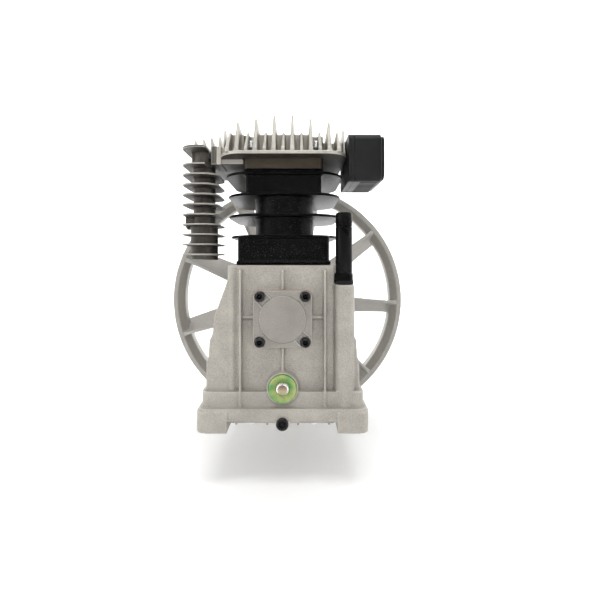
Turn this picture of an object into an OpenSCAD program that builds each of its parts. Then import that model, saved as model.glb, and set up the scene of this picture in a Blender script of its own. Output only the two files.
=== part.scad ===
// Two-cylinder belt-driven air compressor pump, with its crank train, valve plates,
// finned head, discharge cooler, intake filter and fan flywheel as separate pieces.
// Origin: centre of the four foot holes on the foot plane. +Y points to the drive side.

/* [Crank train] */
// Height of the crank axis above the foot plane
crank_z = 118; // [116:1:126]
// Crank throw, half of the stroke
throw_r = 23; // [16:0.5:24]
// Distance between the two cylinder axes
cyl_pitch = 70; // [66:1:72]
// Cylinder bore diameter
bore_d = 60; // [50:1:62]
// Radial running clearance of pistons, pins and bearings
run_gap = 0.05; // [0.02:0.01:0.1]
// Clearance between pieces that seat in each other
seat_gap = 0.03; // [0.01:0.01:0.1]
// Axial clearance between the crank webs and the crank pins
open_gap = 0.3; // [0.2:0.05:1]
// Diameter of the crank pins
crankpin_d = 30; // [24:1:32]
// Width of a connecting rod at its big end
rod_w = 24; // [16:1:27]
// Diameter of the wrist pins
wrist_d = 16; // [12:1:18]
// Piston height
piston_h = 50; // [44:1:54]
// Wrist pin axis below the piston crown
pin_drop = 25; // [22:1:30]
// Gap from piston crown to the top of the block at top dead centre
crown_gap = 0.5; // [0.3:0.1:2]

/* [Crankcase] */
// Height of the deck that carries the cylinder block
case_top = 175; // [172:1:190]
// Width of the crankcase at its deck
case_top_w = 114; // [110:1:124]
// Width of the crankcase at the height of the crank
case_mid_w = 147; // [142:1:150]
// Width of the crankcase just above its skirt
case_low_w = 167; // [163:1:170]
// Depth of the crankcase from front wall to rear wall
case_depth = 180; // [176:1:196]
// Wall thickness
case_wall = 6; // [4:0.5:8]
// Width over the feet
foot_w = 182; // [178:1:190]
// Depth over the feet
foot_depth = 210; // [204:1:220]
// Width of one foot
foot_rail_w = 33; // [30:1:36]
// Height of the feet
foot_h = 22; // [20:1:26]
// Height of the bottom edge between the feet
belly_z = 11.5; // [10:0.5:14]
// Height of the top of the skirt
skirt_z = 41; // [38:1:46]
// Foot hole spacing across the case
foot_hole_x = 150; // [146:1:154]
// Foot hole spacing along the crank
foot_hole_y = 180; // [160:1:184]
// Foot hole diameter
foot_hole_d = 10.5; // [8:0.5:12]

/* [Cylinder block and head] */
// Height of the cylinder block
block_h = 108.5; // [104:0.5:112]
// Width of the block's fins
fin_w = 134; // [126:1:140]
// Depth of the block's fins
fin_depth = 152; // [150:1:160]
// Thickness of the block's fins
fin_t = 3; // [2:0.5:4]
// Pitch of the block's fins
fin_pitch = 23.8; // [22:0.1:24.5]
// Width over the head's base plate
head_w = 142.6; // [138:0.1:144]
// Depth over the head's base plate
head_depth = 176; // [170:1:184]
// Height of the tallest head fin above the head's base
head_fin_h = 47.6; // [42:0.1:56]
// Pitch of the head's main fins
head_fin_pitch = 20.4; // [20:0.1:22]

/* [Discharge cooler] */
// Number of fins on the cooler
cooler_fins = 11; // [7:1:11]
// Pitch of the cooler fins
cooler_pitch = 11.2; // [10.5:0.1:11.6]
// Width of a cooler fin
cooler_fin_w = 42; // [36:1:44]
// Depth of a cooler fin
cooler_fin_depth = 64; // [50:1:68]

/* [Intake filter] */
// Height of the filter housing
filter_h = 53; // [48:1:60]
// Depth of the filter housing
filter_depth = 88; // [80:1:96]
// Width of the filter cover
filter_cover_w = 34; // [30:1:40]

/* [Flywheel] */
// Outside diameter of the flywheel
wheel_d = 360; // [340:1:366]
// Width of the rim
rim_w = 36; // [32:1:40]
// Thickness of the rim
rim_t = 7; // [6:0.5:10]
// Number of fan spokes
spokes = 9; // [5:1:9]
// Thickness of a spoke
spoke_t = 5; // [4:0.5:8]
// Pitch angle of a spoke against the wheel's plane
spoke_pitch = 57; // [50:1:62]
// Sideways offset of a spoke from the radius through its middle
spoke_lag = 9; // [0:1:12]
// Hub diameter
hub_d = 70; // [60:1:78]

/* [Hidden] */
$fn = 64;

gasket_t = 0.8;
lap = 1;                                // how far one body of a casting runs into the next
case_y = case_depth / 2;
foot_y = foot_depth / 2;
base_gasket_t = 0.5;
block_z = case_top + base_gasket_t;
block_top = block_z + block_h;
plate_t = 4.8;
stack_z = [for (i = 0, z = block_top; i <= 5; z = z + [gasket_t, plate_t, gasket_t, plate_t, gasket_t, 0][i],
    i = i + 1) z];                      // undersides of the valve stack, then of the head
head_z = stack_z[5];
cyl_y = cyl_pitch / 2;
bore_r = bore_d / 2;
barrel_r = bore_r + 5;
tdc_pin_z = block_top - crown_gap - pin_drop;
rod_len = tdc_pin_z - crank_z - throw_r;
bdc_pin_z = tdc_pin_z - 2 * throw_r;

// Deep-groove ball bearings: bore radius, outside radius, width, ball radius, ball count
front_brg = [12.5, 26, 15, 3.97, 9];
rear_brg = [15, 31, 16, 4.76, 9];
brg_wall = 8;
front_brg_y = -case_y + 4;
rear_brg_y = case_y - 2 - rear_brg[2];
seal_w = 7;
seal_r = 25;
rear_boss_y = case_y + 10;
seal_shaft_r = 15;

web_t = 11;
web_gap = cyl_y * 2 - 40;               // pin length between two webs
pin_half = web_gap / 2;
web_r = 46;
cheek_r = 20;
nose_r = 14;
nose_y = 152;
key_w = 8;
key_h = 7;
key_len = 30;

case_mid_z = crank_z + 4;
shoulder_z = case_top - 8;
side_step = 3;
side_step_z = [crank_z - 46, crank_z - 24];
deck_t = 9.5;
sump_z = belly_z + 8;
sump_half_x = 42;
sump_half_y = case_y - 14;
rib_t = 2.4;
rib_out = 4.5;
side_rib_x = 45;
column_x = 66;
column_wall = 2.5;
column_y = -case_y + 2;
column_r = 11.5;
column_top = case_top - 20.5;
bead_r = 5.5;
cover_w = 62.5;
cover_h = 61;
cover_corner = 9;
cover_bolt = 24.2;
cover_t = 5.2;
pad_y = -case_y - 2.5;
cover_y = pad_y - gasket_t;
sight_z = 45;
sight_r = 15;
sight_boss_y = -case_y - 9.5;
plug_z = 10.2;
plug_r = 6.5;
plug_len = 12;
boss_end_y = -case_y + 4;                // inner end of the drain boss
oil_way_r = 1.5;                        // slanting way from the drain bore up into the sump
oil_way_tilt = 16;
oil_way_len = 20;
belly_bolt_x = 33;
belly_bolt_y = case_y - 2;
belly_side_x = 50.5;
belly_side_y = 34;
cover_plate_t = 3;
m6_r = 3;
m8_r = 4;

block_box_w = 104;
neck_w = 86;
top_flange_h = 6;
block_bolts = [for (x = [-37, 37], y = [-62, 0, 62]) [x, y]];
base_bolts = [for (x = [-44, 44], y = [-60, 0, 60]) [x, y]];
spigot_r = bore_r + 3;
spigot_z = case_top - deck_t + 1.5;
port_x = 14;
port_r = 5;

chamber_x = [-66, 46];
chamber_half_y = 62;
chamber_r = 12;
chamber_top = head_z + 29;
chamber_wall = 5;
cavity_half_y = 51;                     // leaves a wall to the bolt pockets
bolt_column_r = 11;
bolt_pocket_r = 8.5;
bolt_seat_h = 12;                       // head bolt seats above the head's underside
head_base_t = 4;
head_corner = 25;
fin_root = 2.4;
arm_y = [-27.5, 62];
arm_end = -115;
cooler_x = -94;
cooler_y = -48;
port_z = head_z + 6;
duct_z = [head_z - 6, head_z + 13];
flange_z = [head_z - 7, head_z + 14];
duct_d = 34;
flange_d = duct_d + 6;
flange_bolt_y = 14.5;
cooler_block_w = 17.2;                  // fits between the flange's bolt heads
flange_bolt_z = head_z + 3.5;
flange_x = -76;
cooler_tube_r = 12.8;
cooler_bore_r = 4.5;
cooler_cap_z = head_z + 9.5;             // underside of the top fin
cooler_next_fin = cooler_cap_z - 18.6;
cooler_bottom = cooler_next_fin - (cooler_fins - 2) * cooler_pitch - 5.5;
outlet_r = 7.6;
outlet_len = 14;
filter_x = head_w / 2 + 0.9;             // just clear of the head's base plate
filter_y = -38;
filter_z = head_z - 1.5;
nipple_r = 9;

wheel_r = wheel_d / 2;
wheel_y = 110;
hub_y = [rear_boss_y + 6, wheel_y + rim_w + 1];

// ---- shapes used by several pieces -------------------------------------------------------
module rrect(w, h, r) {
    square([w - 2 * r, h], center = true);
    square([w, h - 2 * r], center = true);
    for (x = [-1, 1], y = [-1, 1]) translate([x * (w / 2 - r), y * (h / 2 - r)]) circle(r);
}
module plate(w, d, r, t) { linear_extrude(t) rrect(w, d, r); }
module rod_y(r, y0, y1) { translate([0, y0, 0]) rotate([-90, 0, 0]) cylinder(r = r, h = y1 - y0); }
module rod_x(r, x0, x1) { translate([x0, 0, 0]) rotate([0, 90, 0]) cylinder(r = r, h = x1 - x0); }
module slab_y(y0, y1) { translate([0, y1, 0]) rotate([90, 0, 0]) linear_extrude(y1 - y0) children(); }
module slab_x(x0, x1) { translate([x0, 0, 0]) rotate([90, 0, 90]) linear_extrude(x1 - x0) children(); }
module about_crank() { translate([0, 0, crank_z]) rotate([-90, 0, 0]) rotate_extrude($fn = 128) children(); }
module block_between(x, y, z) { translate([x[0], y[0], z[0]]) cube([x[1] - x[0], y[1] - y[0], z[1] - z[0]]); }
module both_ways(points) {
    polygon(concat(points, [for (i = [len(points) - 1:-1:0]) [-points[i][0], points[i][1]]]));
}
// A socket-head screw standing on its head's underside, shank down
module cap_screw(r, len, head_r, head_h) {
    difference() {
        union() {
            cylinder(r = head_r, h = head_h);
            translate([0, 0, -len]) cylinder(r = r, h = len + lap);
        }
        translate([0, 0, head_h * 0.4]) cylinder(r = r * 0.96, h = head_h, $fn = 6);
    }
}
module hex_bolt(r, len, across, head_h) {
    cylinder(r = across / sqrt(3), h = head_h, $fn = 6);
    translate([0, 0, -len]) cylinder(r = r, h = len + lap);
}

// ---- crankcase ---------------------------------------------------------------------------
module case_outline(in) {
    low = case_low_w / 2 - in;
    both_ways([[low, belly_z - lap], [low - 1, side_step_z[0]], [low - side_step, side_step_z[0] + 4],
        [low - side_step - 1, side_step_z[1]], [low - 2 * side_step - 1, side_step_z[1] + 6],
        [case_mid_w / 2 - in, case_mid_z], [case_top_w / 2 - in, shoulder_z],
        [case_top_w / 2 - in, case_top - in * deck_t / case_wall]]);
}
module crankcase_skin() {
    slab_y(-case_y, case_y) intersection() {
        case_outline(0);
        translate([-foot_w / 2, belly_z]) square([foot_w, case_top]);
    }
    translate([0, 0, belly_z]) plate(case_low_w + 6, case_depth + 14, 8, skirt_z - belly_z);
    translate([0, 0, belly_z]) plate(foot_w - 3, foot_depth - 3, 10, foot_h - belly_z + 3);
    for (s = [-1, 1]) intersection() {
        plate(foot_w, foot_depth, 10, foot_h);
        translate([s * (foot_w - foot_rail_w) / 2, 0, 0])
            translate([-foot_rail_w / 2, -foot_y, 0]) cube([foot_rail_w, foot_depth, foot_h]);
    }
    // front wall: ribs, cover pad, sight-glass boss, drain boss, filler column and corner bead
    for (x = [-side_rib_x, side_rib_x])
        block_between([x - rib_t / 2, x + rib_t / 2], [-case_y - rib_out - 4, -case_y + lap],
            [18, case_top - 5]);
    for (z = [[sight_z, crank_z - cover_h / 2 - lap], [crank_z + cover_h / 2 + lap, case_top - 5]])
        block_between([-rib_t / 2, rib_t / 2], [-case_y - rib_out, -case_y + lap], z);
    block_between([-side_rib_x, side_rib_x], [-case_y - rib_out + 2, -case_y + lap],
        [crank_z, crank_z + rib_t]);
    slab_y_cover_pad();
    translate([0, 0, sight_z]) rod_y(sight_r + 1.8, sight_boss_y, -case_y + lap);
    translate([0, 0, plug_z]) rod_y(plug_r - 1, -foot_y + 1, boss_end_y);
    translate([column_x, column_y, skirt_z - 20]) cylinder(r = column_r, h = column_top - skirt_z + 20);
    translate([-case_top_w / 2 + 2.5, -case_y + 4, skirt_z - lap])
        cylinder(r = bead_r, h = case_top - skirt_z + lap);
    translate([0, 0, crank_z]) {
        rod_y(seal_r + 12, case_y - lap, rear_boss_y);
        rod_y(seal_r + 24, case_y - lap, case_y + 3);
    }
    // rear wall ribs
    for (a = [0:45:315]) translate([0, 0, crank_z]) rotate([0, a, 0])
        block_between([seal_r + 5, 52], [case_y - lap, case_y + 3], [-rib_t / 2, rib_t / 2]);
}
module slab_y_cover_pad() {
    translate([0, 0, crank_z]) slab_y(pad_y, -case_y + lap) rrect(cover_w, cover_h, cover_corner);
}
module crankcase() {
    color("lightgray") difference() {
        union() {
            difference() {
                crankcase_skin();
                difference() {
                    slab_y(-case_y + case_wall, case_y - case_wall) intersection() {
                        case_outline(case_wall);
                        translate([-foot_w / 2, sump_z]) square([foot_w, case_top]);
                    }
                    translate([column_x, column_y, 0]) cylinder(r = column_r + column_wall, h = case_top);
                }
                block_between([-sump_half_x, sump_half_x], [-sump_half_y, sump_half_y], [0, sump_z + lap]);
            }
            translate([0, 0, crank_z]) {
                rod_y(front_brg[1] + brg_wall, -case_y + lap, front_brg_y + front_brg[2] + 3);
                rod_y(rear_brg[1] + brg_wall, rear_brg_y, case_y - lap);
            }
        }
        translate([0, 0, crank_z]) {
            rod_y(front_brg[1] + seat_gap, pad_y - lap, front_brg_y + front_brg[2]);
            rod_y(front_brg[1] - 4, front_brg_y, front_brg_y + front_brg[2] + 4);
            rod_y(rear_brg[1] + seat_gap, rear_brg_y - lap, rear_brg_y + rear_brg[2]);
            rod_y(rear_brg[1] - 9, rear_brg_y, rear_boss_y);
            rod_y(seal_r + seat_gap, rear_boss_y - seal_w - 1, rear_boss_y + lap);
            for (x = [-1, 1], z = [-1, 1]) translate([x * cover_bolt, 0, z * cover_bolt])
                rod_y(m6_r + seat_gap, pad_y - lap, pad_y + 14);
        }
        translate([0, 0, sight_z]) rod_y(sight_r - 5, sight_boss_y - lap, -case_y + case_wall + lap);
        translate([0, 0, sight_z]) rod_y(sight_r + seat_gap, sight_boss_y - lap, sight_boss_y + 6);
        translate([0, 0, plug_z]) rod_y(plug_r - 2.5 + seat_gap, -foot_y, -foot_y + plug_len + 2.5);
        translate([0, -foot_y + plug_len, plug_z + 1]) rotate([oil_way_tilt - 90, 0, 0])
            cylinder(r = oil_way_r, h = oil_way_len);
        translate([column_x, column_y, skirt_z]) cylinder(r = column_r - 4, h = case_top);
        block_between([column_x - 3, column_x + 3], [column_y, column_y + 2 * column_r],
            [skirt_z + 6, skirt_z + 18]);
        translate([column_x, column_y, column_top]) cylinder(r = column_r - 0.8, h = case_top);
        for (s = [-1, 1]) translate([0, s * cyl_y, case_top - deck_t - lap])
            cylinder(r = spigot_r + 0.2, h = deck_t + 2 * lap);
        for (p = base_bolts) translate([p[0], p[1], case_top - deck_t - lap])
            cylinder(r = m8_r + 0.2, h = deck_t + 2 * lap);
        for (p = belly_holes) translate([p[0], p[1], belly_z - lap])
            cylinder(r = m6_r + seat_gap, h = p[2]);
        for (x = [-1, 1], y = [-1, 1])
            translate([x * foot_hole_x / 2, y * foot_hole_y / 2, -lap])
                cylinder(r = foot_hole_d / 2, h = foot_h - 4 + lap);
    }
}
belly_holes = concat([for (x = [-1, 1], y = [-1, 1]) [x * belly_bolt_x, y * belly_bolt_y, 13]],
    [for (x = [-1, 1], y = [-1, 1]) [x * belly_side_x, y * belly_side_y, 9.5]]);

// ---- front bearing cover -----------------------------------------------------------------
module cover_bolt_places(y) {
    for (x = [-1, 1], z = [-1, 1])
        translate([x * cover_bolt, y, crank_z + z * cover_bolt]) children();
}
module front_cover_gasket() {
    color("firebrick") difference() {
        translate([0, 0, crank_z]) slab_y(cover_y, pad_y) rrect(cover_w + 0.6, cover_h + 0.6, cover_corner);
        translate([0, 0, crank_z]) rod_y(front_brg[1] - 2, cover_y - lap, pad_y + lap);
        cover_bolt_places(cover_y - lap) rod_y(m6_r + 0.3, 0, 2 * lap + gasket_t);
    }
}
module front_bearing_cover() {
    color("silver") difference() {
        translate([0, 0, crank_z]) {
            slab_y(cover_y - cover_t, cover_y) rrect(cover_w, cover_h, cover_corner);
            rod_y(cover_h / 2 - 5.8, cover_y - cover_t - 1.4, cover_y);
            rod_y(front_brg[1] - 2 - seat_gap, cover_y - lap, front_brg_y - 0.5);
        }
        translate([0, 0, crank_z]) rod_y(front_brg[1] - 7, cover_y - 1.5, front_brg_y);
        cover_bolt_places(cover_y - cover_t - 3 * lap) rod_y(m6_r + 0.3, 0, cover_t + 4 * lap);
        cover_bolt_places(cover_y - cover_t - 3 * lap) rod_y(5.6, 0, 3 * lap + 1);
    }
}
module front_cover_screws() {
    color("black") cover_bolt_places(cover_y - cover_t + 1) rotate([90, 0, 0]) cap_screw(m6_r, 16, 5, 6);
}

// ---- ball bearings -----------------------------------------------------------------------
function ball_pitch(b) = (b[0] + b[1]) / 2;
module race_outer(b, y) {
    translate([0, y, 0]) about_crank() difference() {
        translate([ball_pitch(b) + b[3] * 0.55, 0]) square([b[1] - ball_pitch(b) - b[3] * 0.55, b[2]]);
        translate([ball_pitch(b), b[2] / 2]) circle(b[3] + run_gap);
    }
}
module race_inner(b, y) {
    translate([0, y, 0]) about_crank() difference() {
        translate([b[0] + seat_gap, 0]) square([ball_pitch(b) - b[3] * 0.55 - b[0] - seat_gap, b[2]]);
        translate([ball_pitch(b), b[2] / 2]) circle(b[3] + run_gap);
    }
}
module ball_set(b, y) {
    translate([0, y, 0]) about_crank() translate([ball_pitch(b) - 0.8, b[2] / 2 - 2.5]) square([1.6, 5]);
    translate([0, y + b[2] / 2, crank_z]) for (i = [0:b[4] - 1]) rotate([0, i * 360 / b[4], 0])
        translate([ball_pitch(b), 0, 0]) sphere(b[3]);
}
module front_bearing_outer_race() { color("gainsboro") race_outer(front_brg, front_brg_y); }
module front_bearing_inner_race() { color("gainsboro") race_inner(front_brg, front_brg_y); }
module front_bearing_balls() { color("whitesmoke") ball_set(front_brg, front_brg_y); }
module rear_bearing_outer_race() { color("gainsboro") race_outer(rear_brg, rear_brg_y); }
module rear_bearing_inner_race() { color("gainsboro") race_inner(rear_brg, rear_brg_y); }
module rear_bearing_balls() { color("whitesmoke") ball_set(rear_brg, rear_brg_y); }
module shaft_oil_seal() {
    color("dimgray") translate([0, rear_boss_y - seal_w, 0]) about_crank() {
        translate([seal_r - 3, 0]) square([3, seal_w]);
        translate([seal_shaft_r + run_gap, seal_w - 2]) square([seal_r - seal_shaft_r - lap, 2]);
        translate([seal_shaft_r + run_gap, 1]) square([2, seal_w - 2]);
    }
}

// ---- sight glass, drain plug, bottom cover, breather -------------------------------------
module sight_glass_ring() {
    color("limegreen") translate([0, 0, sight_z]) difference() {
        union() {
            rod_y(sight_r, sight_boss_y - 3, sight_boss_y + 6);
            rod_y(sight_r - 5 - seat_gap, sight_boss_y, -case_y + case_wall);
        }
        rod_y(sight_r - 8, sight_boss_y - 4, sight_boss_y + 4);
        rod_y(sight_r - 10, sight_boss_y, -case_y + case_wall + lap);
    }
}
module sight_glass_lens() {
    color("honeydew") translate([0, 0, sight_z]) intersection() {
        rod_y(sight_r - 8 - seat_gap, sight_boss_y - 6, sight_boss_y + 4);
        translate([0, sight_boss_y + 5, 0]) sphere(10.5);
    }
}
module drain_plug() {
    color("black") translate([0, -foot_y + 1, plug_z]) rotate([90, 0, 0])
        cap_screw(plug_r - 2.5, plug_len, plug_r, 4);
}
module bottom_cover_holes(r) {
    for (p = belly_holes) translate([p[0], p[1], 0]) cylinder(r = r, h = belly_z + lap);
    block_between([-plug_r - 1, plug_r + 1], [-foot_y, boss_end_y + lap], [0, belly_z + lap]);
}
belly_w = foot_w - 2 * foot_rail_w - 2;
module bottom_cover_gasket() {
    color("dimgray") difference() {
        translate([0, 0, belly_z - gasket_t]) plate(belly_w, foot_depth - 16, 6, gasket_t);
        translate([0, 0, belly_z - gasket_t - lap]) plate(2 * sump_half_x, 2 * sump_half_y, 4, 3);
        bottom_cover_holes(m6_r + 0.3);
    }
}
module bottom_cover() {
    color("silver") difference() {
        union() {
            translate([0, 0, belly_z - gasket_t - cover_plate_t])
                plate(belly_w, foot_depth - 16, 6, cover_plate_t);
            for (x = [-1, 1]) {
                block_between([x * 16.6 - 1.2, x * 16.6 + 1.2], [-foot_y + 10, foot_y - 10],
                    [4.5, belly_z - gasket_t - lap]);
                for (y = [-1, 1]) block_between([x * 49.6 - 1.2, x * 49.6 + 1.2],
                    [y * 74 - 20, y * 74 + 20], [4.5, belly_z - gasket_t - lap]);
            }
        }
        bottom_cover_holes(m6_r + 0.3);
    }
}
module bottom_cover_bolts() {
    color("lightsteelblue") for (p = belly_holes)
        translate([p[0], p[1], belly_z - gasket_t - cover_plate_t]) rotate([180, 0, 0])
            hex_bolt(m6_r, p[2] + 1.5, 10, 3.2);
}
module breather_collar() {
    color("black") translate([column_x, column_y, column_top]) difference() {
        union() {
            cylinder(r = column_r - 1, h = 12.5);
            translate([0, 0, -8]) cylinder(r = column_r - 4 - seat_gap, h = 8 + lap);
        }
        translate([0, 0, 3]) cylinder(r = 9 + seat_gap, h = 12);
        translate([0, 0, -9]) cylinder(r = 6, h = 20);
    }
}
breather_top = column_top + 77.5;
module breather_tube() {
    color("black") translate([column_x, column_y, column_top + 3]) difference() {
        cylinder(r = 9, h = breather_top - column_top - 3);
        translate([0, 0, -lap]) cylinder(r = 7, h = breather_top - column_top - 5);
        for (a = [0, 60, 120]) rotate([0, 0, a]) translate([0, 0, breather_top - column_top - 12])
            rod_x(1.2, -12, 12);
    }
}

// ---- cylinder block ----------------------------------------------------------------------
module through_bores(r, z0, z1) {
    for (s = [-1, 1]) translate([0, s * cyl_y, z0]) cylinder(r = r, h = z1 - z0);
}
module block_base_gasket() {
    color("tan") difference() {
        translate([0, 0, case_top]) plate(block_box_w + 3, 147, 5, base_gasket_t);
        through_bores(spigot_r + 0.2, case_top - lap, block_z + lap);
        for (p = base_bolts) translate([p[0], p[1], case_top - lap]) cylinder(r = m8_r + 0.2, h = 3);
    }
}
first_fin = block_top - 5 - 3 * fin_pitch;
fin_grow = [-7, -1, 0, 6];              // change of each fin's width, from the lowest up
module cylinder_block() {
    color("#202020") difference() {
        union() {
            translate([0, 0, block_z]) plate(block_box_w + 3, 147, 5, 4);
            translate([0, 0, block_z]) plate(block_box_w, 144, 6, first_fin - block_z);
            for (i = [0:3]) translate([0, 0, first_fin + i * fin_pitch - fin_t / 2])
                plate(fin_w + fin_grow[i], fin_depth, 40, fin_t);
            through_bores(barrel_r, block_z, block_top - top_flange_h + lap);
            block_between([-20, 20], [-cyl_y, cyl_y], [block_z, block_top - lap]);
            translate([0, 0, first_fin + 2 * fin_pitch]) plate(neck_w, 140, 4, fin_pitch);
            translate([0, 0, block_top - top_flange_h - lap]) plate(neck_w + 4, 142, 5, top_flange_h + lap);
            through_bores(spigot_r, spigot_z, block_z + lap);
        }
        through_bores(bore_r, spigot_z - lap, block_top + lap);
        for (p = base_bolts) translate([p[0], p[1], block_z - lap]) cylinder(r = m8_r + seat_gap, h = 16);
        for (p = block_bolts) translate([p[0], p[1], block_top - 20]) cylinder(r = m8_r + seat_gap, h = 21);
    }
}
module block_base_bolts() {
    color("silver") for (p = base_bolts) translate([p[0], p[1], case_top - deck_t]) rotate([180, 0, 0])
        hex_bolt(m8_r, deck_t + 12, 13, 5.3);
}

// ---- valve stack -------------------------------------------------------------------------
module stack_plate(i, t, grow = 0) {
    difference() {
        translate([0, 0, stack_z[i]]) plate(neck_w + 4 + grow, 140 + grow, 5, t);
        for (p = block_bolts) translate([p[0], p[1], stack_z[i] - lap])
            cylinder(r = m8_r + 0.3, h = t + 2 * lap);
        children();
    }
}
module ports(z, t) {
    for (s = [-1, 1], x = [-port_x, port_x]) translate([x, s * cyl_y, z - lap])
        cylinder(r = port_r, h = t + 2 * lap);
}
module gasket_windows(z) {
    for (s = [-1, 1], x = [-1, 1]) translate([x * 16, s * cyl_y, z - lap])
        plate(26, 46, 6, gasket_t + 2 * lap);
}
module block_top_gasket() {
    color("#6b5a50") stack_plate(0, gasket_t) through_bores(bore_r + 0.5, stack_z[0] - lap, stack_z[1] + lap);
}
reed_t = 0.5;
reed_half = 11;                         // from the port's centre to each fixing
stop_r = 4.5;
module reed_shape() {
    circle(7);
    for (y = [-1, 1]) translate([0, y * reed_half]) circle(stop_r);
    square([2 * stop_r - 1, 2 * reed_half], center = true);
}
module intake_valve_plate() {
    color("#8a7c72") stack_plate(1, plate_t) {
        ports(stack_z[1], plate_t);
        for (s = [-1, 1]) translate([port_x, s * cyl_y, stack_z[1] - lap])
            plate(18, 48, 8, lap + reed_t + 0.1);
    }
}
module intake_reeds() {
    color("steelblue") for (s = [-1, 1]) translate([port_x, s * cyl_y, stack_z[1] + 0.1])
        linear_extrude(reed_t) reed_shape();
}
module plate_gasket() {
    color("#6b5a50") stack_plate(2, gasket_t) gasket_windows(stack_z[2]);
}
module discharge_valve_plate() {
    color("#9a8c80") stack_plate(3, plate_t) ports(stack_z[3], plate_t);
}
reed_z = stack_z[4] + 0.02;
module discharge_reeds() {
    color("steelblue") for (s = [-1, 1]) translate([-port_x, s * cyl_y, reed_z])
        linear_extrude(reed_t) reed_shape();
}
module reed_stops() {
    color("gray") for (s = [-1, 1]) translate([-port_x, s * cyl_y, reed_z + reed_t]) difference() {
        union() {
            for (y = [-1, 1]) translate([0, y * reed_half, 0]) cylinder(r = stop_r, h = 5);
            translate([0, 0, 3.75]) cube([2 * stop_r - 1, 2 * reed_half, 2.5], center = true);
        }
        for (y = [-1, 1]) translate([0, y * reed_half, 3]) cylinder(r = 2, h = 3, $fn = 6);
    }
}
module head_gasket() {
    color("#6b5a50") stack_plate(4, gasket_t) gasket_windows(stack_z[4]);
}

// ---- cylinder head -----------------------------------------------------------------------
// Side outline of a fin: low at the front and rear edges, its peaks set in by a slope
module fin_outline(h, d, peak) {
    polygon([[-d / 2, head_base_t - lap], [-d / 2, head_base_t + 4], [-d / 2 + peak, h],
        [-d / 2 + peak + 6, h - 1],
        [-d / 4, h * 0.88], [d / 4, h * 0.88], [d / 2 - peak - 6, h - 1], [d / 2 - peak, h],
        [d / 2, head_base_t + 4], [d / 2, head_base_t - lap]]);
}
module head_fin(x, y, h, d, peak) {
    translate([x, y, head_z]) slab_x(-fin_root / 2, fin_root / 2) fin_outline(h, d, peak);
}
main_fin_h = [for (i = [1:4]) head_fin_h - 4 * (i - 1) + (i == 4 ? 4 : 0)];
// Length of the base plate along Y at the offset x, inside its rounded corners
function plate_run(x) = head_depth - 2 * head_corner
    + 2 * sqrt(max(0, pow(head_corner, 2) - pow(max(0, abs(x) - head_w / 2 + head_corner), 2)));
module head_skin() {
    translate([0, 0, head_z]) plate(head_w, head_depth, head_corner, head_base_t);
    translate([(chamber_x[0] + chamber_x[1]) / 2, 0, head_z])
        plate(chamber_x[1] - chamber_x[0], 2 * chamber_half_y, chamber_r, chamber_top - head_z);
    for (s = [-1, 1], i = [1:4]) {
        x = s * (i - 0.5) * head_fin_pitch;
        head_fin(x - (i == 4 ? s * 1.4 : 0), 0, main_fin_h[i - 1], plate_run(x) - 2, 14);
    }
    for (i = [-3:3])
        head_fin(i * head_fin_pitch, 0, 0.66 * head_fin_h, plate_run(i * head_fin_pitch) - 4, 22);
    // discharge duct and its flange, finned arm behind it, intake duct
    block_between([flange_x, -neck_w / 2 - 3], [cooler_y - duct_d / 2, cooler_y + duct_d / 2], duct_z);
    block_between([flange_x, flange_x + 5], [cooler_y - flange_d / 2, cooler_y + flange_d / 2], flange_z);
    block_between([arm_end, -head_w / 2 + 12], arm_y, [head_z, head_z + head_base_t]);
    for (i = [4:7]) head_fin(-(i + 4) * head_fin_pitch / 2 + 0.6, (arm_y[0] + arm_y[1]) / 2,
        39.5 - 1.6 * (i - 4), arm_y[1] - arm_y[0] - 1, 5);
    block_between([chamber_x[1] - lap, filter_x], [filter_y - 14, filter_y + 14],
        [head_z + 0.5, head_z + 22]);
}
module cylinder_head() {
    color("gainsboro") difference() {
        head_skin();
        // discharge chamber on the cooler's side, intake chamber on the filter's side
        difference() {
            for (x = [[-neck_w / 2 + 2, -2.5], [2.5, chamber_x[1] - chamber_wall]])
                translate([(x[0] + x[1]) / 2, 0, head_z - lap])
                    plate(x[1] - x[0], 2 * cavity_half_y, 5, chamber_top - head_z - chamber_wall + lap);
            for (p = block_bolts) translate([p[0], p[1], head_z - 2 * lap])
                cylinder(r = bolt_column_r, h = chamber_top - head_z);
        }
        translate([0, cooler_y, port_z]) rod_x(cooler_bore_r, flange_x - lap, -neck_w / 2 + 6);
        translate([0, filter_y, head_z + 11]) {
            rod_x(nipple_r - 2, chamber_x[1] - chamber_wall - 4, filter_x + lap);
            rod_x(nipple_r + seat_gap, filter_x - 12, filter_x + lap);
        }
        for (p = block_bolts) {
            translate([p[0], p[1], head_z - lap]) cylinder(r = m8_r + 0.3, h = 60);
            translate([p[0], p[1], head_z + bolt_seat_h]) cylinder(r = bolt_pocket_r, h = 60);
        }
        flange_bolt_places() rod_x(m6_r + seat_gap, flange_x - lap, flange_x + 12);
    }
}
module head_bolts() {
    color("dimgray") for (p = block_bolts) translate([p[0], p[1], head_z + bolt_seat_h])
        cap_screw(m8_r, bolt_seat_h + head_z - block_top + 18, 6.5, 8);
}

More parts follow.
